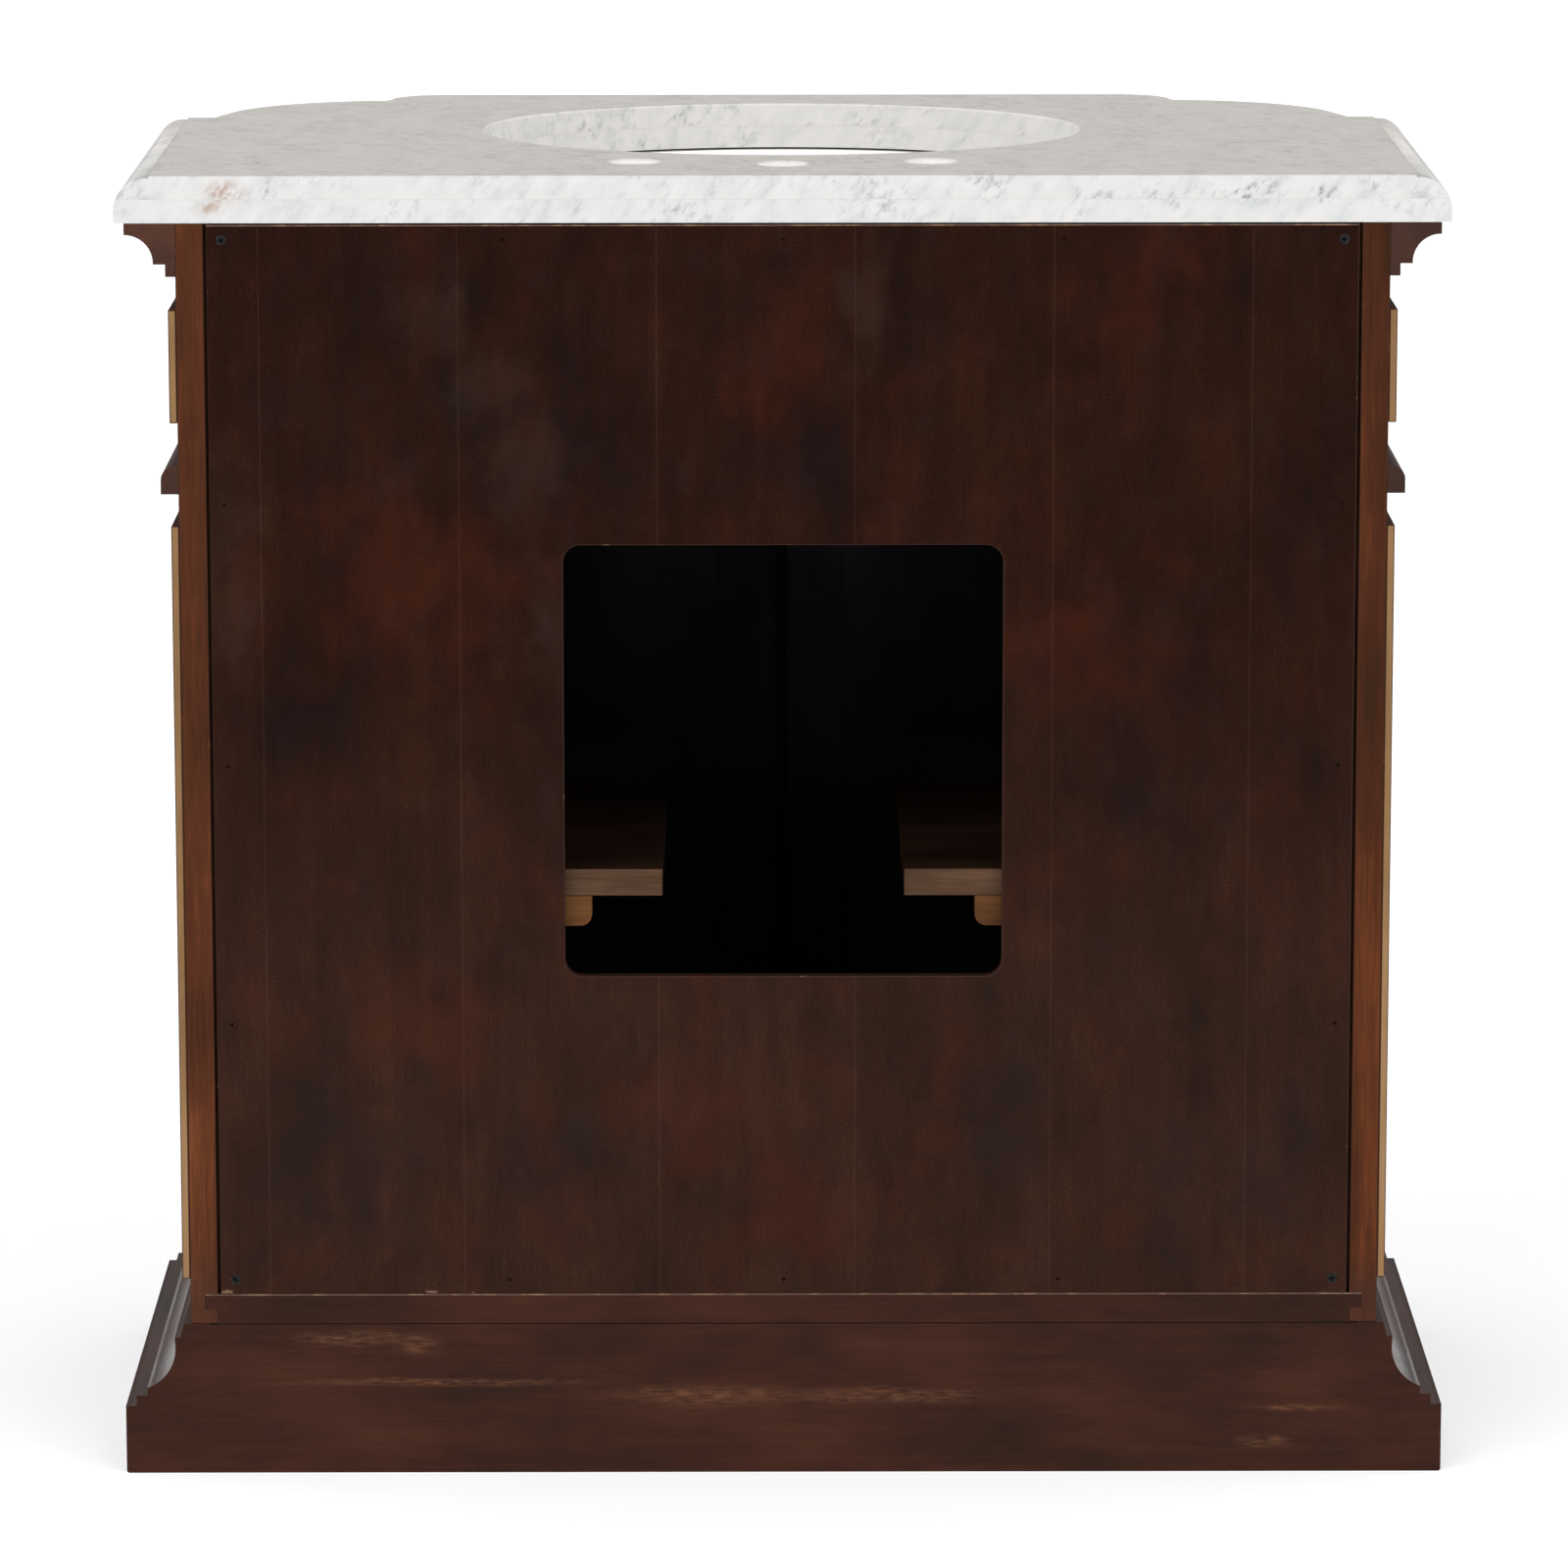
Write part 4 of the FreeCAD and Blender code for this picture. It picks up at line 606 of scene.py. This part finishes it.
# a wet-looking white, with lights that waver a little
china = uneven_skin("vitreous_china", "#f3f2ef", "#f8f7f5", lump_mm=7.0, detail=2.0,
                    strength=0.08, height=0.0003, roughness=0.1)
# a rubbery grey with a dull sheen
bedding = uneven_skin("silicone_sealant", "#4b4843", "#5c5852", lump_mm=4.0, detail=3.0,
                      strength=0.3, height=0.0005, roughness=0.5)
# nearly black, with a grey bloom
screw_steel = worked_metal("blackened_steel", "#1f1f1f", "#373635", smooth=0.45, rough=0.65, grain_mm=2.5)
# rusted brown, painted nearly black as painted shade, as at the bottom of a hole
nail_steel_painted_shade = worked_metal("rusted_steel_painted_shade", "#120e0c", "#241b17", smooth=0.55, rough=0.8, grain_mm=1.5)
# a pale grey with the faint flakes of the plating
zinc = worked_metal("zinc_plated_steel", "#8f9294", "#b9bbba", smooth=0.3, rough=0.45, grain_mm=6.0)
# brown where hands don't reach, yellow where they do
hinge_brass = worked_metal("darkened_brass", "#4a3a22", "#8a6c3c", smooth=0.28, rough=0.5, grain_mm=5.0)
knob_brass = worked_metal("darkened_brass_knob", "#2f2417", "#6b5130", smooth=0.25, rough=0.5, grain_mm=9.0)
print(f"materials so far: {len(bpy.data.materials)}")

# %% [markdown]
# ## Eased boards
#
# A sawn board never has a knife edge: a maker takes the arris off with a stroke of sandpaper. A copy of
# each plain board is cleaned of its triangles and bevelled by less than a millimetre, and the bevel
# faces take a rubbed finish. The copy stands in for the CAD node and rides on the same body.


# %% Ease the arrises of the boards
EASE = 0.0007
SHARP = math.radians(40)
FLAT = math.radians(0.5)
WELD = 1e-6


def stand_in(node, mesh):
    """An object for this mesh that takes the place of a CAD node."""
    piece = bpy.data.objects.new(mesh.name, mesh)
    bpy.context.collection.objects.link(piece)
    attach(piece, body_of[node])
    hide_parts(node)
    return piece


def merged_copy(node, name):
    """The node's triangles joined to one skin, with flat faces made whole again."""
    mesh = nodes[node].data.copy()
    mesh.name = name
    mesh.materials.clear()
    shape = bmesh.new()
    shape.from_mesh(mesh)
    bmesh.ops.remove_doubles(shape, verts=shape.verts, dist=WELD)
    bmesh.ops.dissolve_limit(shape, angle_limit=FLAT, verts=shape.verts, edges=shape.edges)
    for face in shape.faces:
        face.material_index = 0
    return mesh, shape


def evaluated(mesh, name, kind, **settings):
    """The mesh with one modifier applied."""
    bench = bpy.data.objects.new(name, mesh)
    bpy.context.collection.objects.link(bench)
    modifier = bench.modifiers.new(kind.lower(), kind)
    for setting, value in settings.items():
        setattr(modifier, setting, value)
    bpy.context.view_layer.update()
    done = bpy.data.meshes.new_from_object(bench.evaluated_get(bpy.context.evaluated_depsgraph_get()))
    bpy.data.objects.remove(bench)
    bpy.data.meshes.remove(mesh)
    done.name = name
    return done


def eased(node, finish, arris, chosen=lambda edge: True):
    """A copy whose sharp edges, or the chosen ones among them, are bevelled and take the arris finish."""
    name = f"{node}_eased"
    mesh, shape = merged_copy(node, name)
    weight = shape.edges.layers.float.new("bevel_weight_edge")
    for edge in shape.edges:
        edge[weight] = float(edge.calc_face_angle(0.0) > SHARP and chosen(edge))
    shape.to_mesh(mesh)
    shape.free()
    mesh.materials.append(finish)
    mesh.materials.append(arris)
    done = evaluated(mesh, name, "BEVEL", width=EASE, segments=2, limit_method="WEIGHT", material=1)
    return stand_in(node, done)


SIDES = ("left", "right")
boards = {"front_frieze_rail": (walnut["x"], rubbed), "front_frieze_panel": (walnut["x"], rubbed),
          "corner_posts": (walnut["z"], rubbed), "door_stop": (painted_shade_wood, painted_shade_wood),
          "shelf_cleats": (beech["x"], beech["x"]), "back_cleats": (beech["z"], beech["z"]),
          "back_top_rail": (beech["x"], beech["x"])}
for side in SIDES:
    boards[f"{side}_side_panel"] = (side_walnut[side], rubbed)
    boards[f"{side}_frieze_panel"] = (sawn_panel, rubbed)
    boards[f"{side}_field_panel"] = (sawn_panel, rubbed)
    boards[f"{side}_front_stile"] = (walnut["z"], rubbed)
    boards[f"{side}_shelf"] = (shelf_wood_painted_light_and_shade, shelf_wood_painted_light_and_shade)
    boards[f"{side}_door_hinge_stile"] = (door_wood_shaded_inside["z"], rubbed)
    boards[f"{side}_door_meeting_stile"] = (door_wood_shaded_inside["z"], rubbed)
    boards[f"{side}_door_rails"] = (door_wood_shaded_inside["x"], rubbed)
    boards[f"{side}_door_panel"] = (door_wood_shaded_inside["z"], rubbed)
for node, (finish, arris) in boards.items():
    eased(node, finish, arris)
print(f"eased boards: {len(boards)}")

# %% [markdown]
# The back panel is eased too, but only round its outside and round the opening: the holes for the
# fasteners stay as drilled. Its upper arris is rubbed pale all along. Below it, the bottom panel shows a
# pale upper arris, and the plinth's back board a near-black line on top, the painted shadow of the joint.

# %% Ease the back panel
panel_low, panel_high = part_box("back_panel")
RIM = 0.001
OPENING_HALF = 0.151
OPENING_LOW = 0.35
OPENING_HIGH = 0.655


def on_panel_edge(edge):
    middle = (edge.verts[0].co + edge.verts[1].co) / 2
    outside = (abs(middle.x) > panel_high[0] - RIM or middle.z > panel_high[2] - RIM
               or middle.z < panel_low[2] + RIM)
    inside = abs(middle.x) < OPENING_HALF and OPENING_LOW < middle.z < OPENING_HIGH
    return (outside or inside) and middle.y > panel_high[1] - RIM


def upper_rear_edge(node):
    """Tells the arris along the top of a board's rear face."""
    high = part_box(node)[1]

    def chosen(edge):
        middle = (edge.verts[0].co + edge.verts[1].co) / 2
        return middle.y > high[1] - RIM and middle.z > high[2] - RIM

    return chosen


panel = eased("back_panel", veneer, chipped, chosen=on_panel_edge)
panel.data.materials.append(bright)
for face in panel.data.polygons:
    if face.material_index == 1 and face.center.z > panel_high[2] - RIM:
        face.material_index = 2
boards["back_panel"] = (veneer, chipped)
# the plinth's back board's top arris takes the near-black painted shadow of the joint's gap
for node, finish, arris in (("bottom_panel", plinth_long, polished),
                            ("plinth_back_board", plinth_back, painted_shade_wood)):
    eased(node, finish, arris, chosen=upper_rear_edge(node))
    boards[node] = (finish, arris)
print(f"back panel {(panel_high[0] - panel_low[0]) * 1000:.0f} mm wide")

# %% [markdown]
# ## Mouldings, marble and metalwork
#
# These have their final shape already, but the CAD mesh is loose triangles, which show as facets on
# every curve. A merged copy is shaded smoothly, with a crease wherever two faces meet at more than
# thirty degrees. Normals weighted by area keep the flat faces flat.

# %% Smooth the curved solids
CREASE = math.radians(30)


def smoothed(node, finish, inner=None, inside=None):
    """A smooth copy; faces for which inside is true take the inner finish, if there is one."""
    name = f"{node}_smooth"
    mesh, shape = merged_copy(node, name)
    mesh.materials.append(finish)
    if inner:
        mesh.materials.append(inner)
        for face in shape.faces:
            face.material_index = int(inside(face))
    shape.to_mesh(mesh)
    shape.free()
    mesh.shade_smooth()
    mesh.set_sharp_from_angle(angle=CREASE)
    done = evaluated(mesh, name, "WEIGHTED_NORMAL", keep_sharp=True)
    return stand_in(node, done)


curved = {"marble_edge_strips": strip_marble, "sink_bowl": china, "sink_seal": bedding, "sink_clips": zinc,
          "frame_hinge_leaves": hinge_brass, "hinge_pins": hinge_brass, "door_catches": hinge_brass,
          "plinth_front_board": plinth_long, "crown_front": walnut["x"], "waist_front": walnut["x"]}
for side in SIDES:
    curved[f"plinth_{side}_curve"] = plinth_long
    curved[f"crown_{side}"] = walnut["y"]
    curved[f"crown_{side}_curve"] = walnut["x"]
    curved[f"waist_{side}"] = walnut["y"]
    curved[f"waist_{side}_curve"] = walnut["x"]
    curved[f"{side}_curved_panel"] = walnut["z"]
    curved[f"{side}_door_hinge_leaves"] = hinge_brass
for node, finish in curved.items():
    smoothed(node, finish)
print(f"smoothed solids: {len(curved)}")

# %% [markdown]
# Three kinds of solid have a second finish. The knobs' screws are steel, painted near black as shade, and
# show inside the doors. The marble slabs have matt walls in the faucet holes, whose places the record gives;
# these are painted white as painted light. The plinth's side boards are rubbed to a gloss along their
# mouldings, but their sawn rear ends are as dull as the back board.

# %% Smooth the knobs, the marble slabs and the plinth sides
door_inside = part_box("left_door_meeting_stile")[1][1]
faucet_holes = [mount for mount in frame["record"]["mounts"] if mount["name"].startswith("faucet")]
UPRIGHT_WALL = 0.3
REAR_WALL = 0.9


def behind_the_door(face):
    return face.calc_center_median().y > door_inside - RIM


def sawn_end(face):
    return face.normal.y > REAR_WALL


def in_a_faucet_hole(face):
    middle = face.calc_center_median()
    if abs(face.normal.z) > UPRIGHT_WALL:
        return False
    return any(math.dist(middle.xy, hole["pos_m"][:2]) < hole["dims"]["r_mm"] / 1000 + RIM
               for hole in faucet_holes)


for node, finish in (("marble_top_slab", upper_marble), ("marble_lower_slab", lower_marble)):
    curved[node] = finish
    smoothed(node, finish, hole_marble_painted_light, in_a_faucet_hole)
for side in SIDES:
    curved[f"plinth_{side}_board"] = plinth_side
    smoothed(f"plinth_{side}_board", plinth_side, plinth_long, sawn_end)
    curved[f"{side}_door_knob"] = knob_brass
    smoothed(f"{side}_door_knob", knob_brass, nail_steel_painted_shade, behind_the_door)
print(f"faucet holes: {len(faucet_holes)}")

# %% [markdown]
# ## Screws
#
# Every screw here is the same thing at another size: a countersunk head with a cross in it, driven until
# some chance angle. A geometry tree makes one, puts a copy on each point of a mesh so that it looks along
# the point's "facing", and turns it by a seeded random angle. A stand-alone mesh is taken from the result.


# %% The screw tree
def named_tree(name, sockets):
    """An empty geometry tree with named inputs; returns the tree, its input node and the inputs' ids."""
    tree = bpy.data.node_groups.new(name, "GeometryNodeTree")
    ids = {}
    for label, kind in (("Points", "Geometry"), *sockets):
        made = tree.interface.new_socket(label, in_out="INPUT", socket_type=f"NodeSocket{kind}")
        ids[label] = made.identifier
    tree.interface.new_socket("Result", in_out="OUTPUT", socket_type="NodeSocketGeometry")
    return tree, add(tree, "NodeGroupInput").outputs, ids


def place_copies(tree, given, instance, turn):
    """Ends a tree: copies on the points, looking along their facing, turned by up to this angle."""
    facing = add(tree, "GeometryNodeInputNamedAttribute", {"Name": "facing"}, data_type="FLOAT_VECTOR")
    upright = add(tree, "FunctionNodeAlignRotationToVector", {"Vector": facing.outputs["Attribute"]},
                  axis="Z")
    copies = add(tree, "GeometryNodeInstanceOnPoints", {
        "Points": given["Points"], "Instance": instance, "Rotation": upright.outputs["Rotation"]})
    chance = add(tree, "FunctionNodeRandomValue", {"Max": (0.0, 0.0, turn), "Seed": given["Seed"]},
                 data_type="FLOAT_VECTOR")
    driven = add(tree, "GeometryNodeRotateInstances", {
        "Instances": copies.outputs["Instances"], "Rotation": chance.outputs["Value"]})
    real = add(tree, "GeometryNodeRealizeInstances", {"Geometry": driven.outputs["Instances"]})
    metal = add(tree, "GeometryNodeSetMaterial", {
        "Geometry": real.outputs["Geometry"], "Material": given["Metal"]})
    add(tree, "NodeGroupOutput", {"Result": metal.outputs["Geometry"]})


def screw_tree():
    tree, given, ids = named_tree("cross_head_screws", (
        ("Head Radius", "Float"), ("Head Depth", "Float"), ("Shank Radius", "Float"), ("Length", "Float"),
        ("Slot Width", "Float"), ("Slot Length", "Float"), ("Slot Depth", "Float"), ("Seed", "Int"),
        ("Metal", "Material")))
    head = add(tree, "GeometryNodeMeshCone", {
        "Vertices": 32, "Radius Top": given["Head Radius"], "Radius Bottom": given["Shank Radius"],
        "Depth": given["Head Depth"]})
    down = add(tree, "ShaderNodeMath", {0: given["Head Depth"], 1: -1.0}, operation="MULTIPLY").outputs[0]
    sunk = add(tree, "ShaderNodeCombineXYZ", {"Z": down}).outputs["Vector"]
    head = add(tree, "GeometryNodeTransform", {"Geometry": head.outputs["Mesh"], "Translation": sunk})
    tall = add(tree, "ShaderNodeMath", {0: given["Slot Depth"], 1: 2.0}, operation="MULTIPLY").outputs[0]
    cross = add(tree, "GeometryNodeMeshBoolean", {"Mesh 1": head.outputs["Geometry"]}, operation="DIFFERENCE")
    for sides in (("Slot Length", "Slot Width"), ("Slot Width", "Slot Length")):
        size = add(tree, "ShaderNodeCombineXYZ", {"X": given[sides[0]], "Y": given[sides[1]], "Z": tall})
        slot = add(tree, "GeometryNodeMeshCube", {"Size": size.outputs["Vector"]})
        tree.links.new(slot.outputs["Mesh"], cross.inputs["Mesh 2"])
    shank_length = add(tree, "ShaderNodeMath", {0: given["Length"], 1: given["Head Depth"]},
                       operation="SUBTRACT")
    shank = add(tree, "GeometryNodeMeshCone", {
        "Vertices": 16, "Radius Top": given["Shank Radius"], "Radius Bottom": 0.0,
        "Depth": shank_length.outputs[0]})
    low = add(tree, "ShaderNodeMath", {0: given["Length"], 1: -1.0}, operation="MULTIPLY").outputs[0]
    low = add(tree, "ShaderNodeCombineXYZ", {"Z": low}).outputs["Vector"]
    shank = add(tree, "GeometryNodeTransform", {"Geometry": shank.outputs["Mesh"], "Translation": low})
    whole = add(tree, "GeometryNodeJoinGeometry", {"Geometry": cross.outputs["Mesh"]})
    tree.links.new(shank.outputs["Geometry"], whole.inputs["Geometry"])
    place_copies(tree, given, whole.outputs["Geometry"], math.pi)
    return tree, ids


def driven_in(name, tree_and_ids, places, sizes, seed, metal):
    """Plain mesh of a fastener tree's copies; a place is (point, facing)."""
    tree, ids = tree_and_ids
    points = bpy.data.meshes.new(f"{name}_points")
    points.from_pydata([point for point, facing in places], [], [])
    facings = points.attributes.new("facing", "FLOAT_VECTOR", "POINT")
    for index, (point, facing) in enumerate(places):
        facings.data[index].vector = facing
    piece = bpy.data.objects.new(name, points)
    bpy.context.collection.objects.link(piece)
    modifier = piece.modifiers.new("fasteners", "NODES")
    modifier.node_group = tree
    for label, value in {**sizes, "Seed": seed, "Metal": metal}.items():
        modifier[ids[label]] = value
    bpy.context.view_layer.update()
    done = bpy.data.meshes.new_from_object(piece.evaluated_get(bpy.context.evaluated_depsgraph_get()))
    piece.modifiers.clear()
    piece.data = done
    done.name = name
    return piece


screws = screw_tree()
print(f"screw tree: {len(screws[0].nodes)} nodes")

# %% [markdown]
# Four of them hold the back panel, one at each corner. Their places come from the box round the CAD
# screws. They replace those solids and ride on the chest.

# %% Screws of the back panel
BACK_HEAD = 0.0036
back_sizes = {"Head Radius": 0.00355, "Head Depth": 0.003, "Shank Radius": 0.0018, "Length": 0.024,
              "Slot Width": 0.0012, "Slot Length": 0.0046, "Slot Depth": 0.0018}
screw_low, screw_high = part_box("back_panel_screws")
screw_x = (screw_low[0] + BACK_HEAD, screw_high[0] - BACK_HEAD)
screw_z = (screw_low[2] + BACK_HEAD, screw_high[2] - BACK_HEAD)
BACKWARDS = (0.0, 1.0, 0.0)
corners = [((x, screw_high[1], z), BACKWARDS) for x in screw_x for z in screw_z]
back_screws = driven_in("back_panel_cross_screws", screws, corners, back_sizes, seed=5, metal=screw_steel)
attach(back_screws, "chest")
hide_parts("back_panel_screws")
print(f"back panel screws: {len(corners)}")

# %% [markdown]
# Three smaller ones hold each hinge leaf, staggered so that they don't split the wood. The leaves on the
# frame look inwards and those on a door look outwards, so a body's screws are one piece each.

# %% Screws of the hinge leaves
LEAF_HEIGHT = 0.050
LEAF_DEPTH = 0.0173
LEAF_THICKNESS = 0.0014
LEAF_GAP = 0.0004
PROUD = 0.0001
HEIGHT_SHARES = (0.16, 0.5, 0.84)
STAGGER = (0.003, -0.003, 0.003)
hinge_sizes = {"Head Radius": 0.0026, "Head Depth": 0.0012, "Shank Radius": 0.0013, "Length": 0.010,
               "Slot Width": 0.0006, "Slot Length": 0.0032, "Slot Depth": 0.0009}


def leaf_screws(node, faces):
    """Places on the two leaves of each face; a face is (x of the leaf's bare side, way it looks)."""
    low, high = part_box(node)
    middle = high[1] - LEAF_DEPTH / 2
    places = []
    for x, way in faces:
        for foot in (low[2], high[2] - LEAF_HEIGHT):
            for share, aside in zip(HEIGHT_SHARES, STAGGER):
                point = (x + way * PROUD, middle + aside, foot + LEAF_HEIGHT * share)
                places.append((point, (float(way), 0.0, 0.0)))
    return places


frame_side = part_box("frame_hinge_leaves")[1][0] - LEAF_THICKNESS
door_side = frame_side - LEAF_GAP
hinge_screws = {"chest": leaf_screws("frame_hinge_leaves", ((frame_side, -1), (-frame_side, 1))),
                "right_door": leaf_screws("right_door_hinge_leaves", ((door_side, 1),)),
                "left_door": leaf_screws("left_door_hinge_leaves", ((-door_side, -1),))}
for seed, (body, places) in enumerate(hinge_screws.items()):
    piece = driven_in(f"{body}_hinge_screws", screws, places, hinge_sizes, seed, hinge_brass)
    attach(piece, body)
print(f"hinge screws: {[len(places) for places in hinge_screws.values()]}")

# %% [markdown]
# ## Nails
#
# Between the screws the panel is nailed, and each nail was punched a little below the face. The same kind
# of tree puts a thin round nail on each point, sunk by half a millimetre, so a dark pit is left.


# %% Nails of the back panel
def nail_tree():
    tree, given, ids = named_tree("punched_nails", (
        ("Radius", "Float"), ("Length", "Float"), ("Sunk", "Float"), ("Seed", "Int"), ("Metal", "Material")))
    nail = add(tree, "GeometryNodeMeshCylinder", {
        "Vertices": 16, "Radius": given["Radius"], "Depth": given["Length"]})
    middle = add(tree, "ShaderNodeMath", {0: given["Length"], 1: -0.5}, operation="MULTIPLY").outputs[0]
    middle = add(tree, "ShaderNodeMath", {0: middle, 1: given["Sunk"]}, operation="SUBTRACT").outputs[0]
    shift = add(tree, "ShaderNodeCombineXYZ", {"Z": middle}).outputs["Vector"]
    nail = add(tree, "GeometryNodeTransform", {"Geometry": nail.outputs["Mesh"], "Translation": shift})
    place_copies(tree, given, nail.outputs["Geometry"], math.pi)
    return tree, ids


QUARTERS = (0.25, 0.5, 0.75)
nail_places = []
for share in QUARTERS:
    x = screw_x[0] + (screw_x[1] - screw_x[0]) * share
    z = screw_z[0] + (screw_z[1] - screw_z[0]) * share
    nail_places += [((x, screw_high[1], edge), BACKWARDS) for edge in screw_z]
    nail_places += [((edge, screw_high[1], z), BACKWARDS) for edge in screw_x]
nails = driven_in("back_panel_punched_nails", nail_tree(), nail_places,
                  {"Radius": 0.00128, "Length": 0.019, "Sunk": 0.0005}, seed=3, metal=nail_steel_painted_shade)
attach(nails, "chest")
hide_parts("back_panel_nails")
left_out = sorted(set(nodes) - set(boards) - set(curved) - {"back_panel_screws", "back_panel_nails"})
print(f"nails: {len(nail_places)}, solids without a finish: {left_out}")

# %% [markdown]
# ## Stage and light
#
# The chest stands on a plain white lit floor, as on a light table, which keeps shadows faint. Two broad
# softboxes stand left and right of the camera, so the light that enters the plumbing opening crosses to
# the far side and leaves the middle of the chest black. Two weaker ones do the same for the front. They
# stand to the sides, because a light straight opposite the camera would be mirrored in the marble. A
# weak warm ceiling light and a dim even surround fill the rest.


# %% Floor, light and surround
FLOOR_HALF = 40.0
FLOOR_GLOW = 0.4
SOFTBOX_SPREAD = 60.0
SOFTBOX_RISE = 30.0
CEILING_SPREAD = 70.0
OVERHEAD = 90.0


def pale_floor():
    corners = [(x * FLOOR_HALF, y * FLOOR_HALF, 0.0) for x, y in ((-1, -1), (1, -1), (1, 1), (-1, 1))]
    mesh = bpy.data.meshes.new("studio_floor")
    mesh.from_pydata(corners, [], [(0, 1, 2, 3)])
    material, _, shader, _ = new_material("lit_white_floor")
    shader.inputs["Base Color"].default_value = linear("#cfd2d6")
    shader.inputs["Roughness"].default_value = 0.9
    shader.inputs["Specular IOR Level"].default_value = 0.0
    shader.inputs["Emission Color"].default_value = linear("#ffffff")
    shader.inputs["Emission Strength"].default_value = FLOOR_GLOW
    mesh.materials.append(material)
    floor = bpy.data.objects.new("studio_floor", mesh)
    bpy.context.collection.objects.link(floor)


def soft_light(name, strength, spread, elevation, bearing, code="#ffffff"):
    """A broad distant light; bearing turns it from the camera's side, and 180 is over the front."""
    lamp = bpy.data.lights.new(name, "SUN")
    lamp.color = linear(code)[:3]
    lamp.energy = strength
    lamp.angle = math.radians(spread)
    item = bpy.data.objects.new(name, lamp)
    item.rotation_euler = (math.radians(elevation - OVERHEAD), 0.0, math.radians(bearing))
    bpy.context.collection.objects.link(item)


pale_floor()
for name, strength, bearing in (("left_softbox", 2.01, -45.0), ("right_softbox", 1.83, 45.0),
                                ("front_left_fill", 0.95, -120.0), ("front_right_fill", 0.95, 120.0)):
    soft_light(name, strength, SOFTBOX_SPREAD, SOFTBOX_RISE, bearing)
soft_light("ceiling", 0.55, CEILING_SPREAD, OVERHEAD, 0.0, "#ffe8d6")
world = bpy.data.worlds.new("studio_surround")
world.use_nodes = True
bpy.context.scene.world = world
surround = world.node_tree.nodes["Background"]
surround.inputs["Color"].default_value = linear("#ffffff")
surround.inputs["Strength"].default_value = 0.2
bpy.context.scene.view_settings.view_transform = "Standard"
print("floor, four softboxes, a ceiling light and a surround")
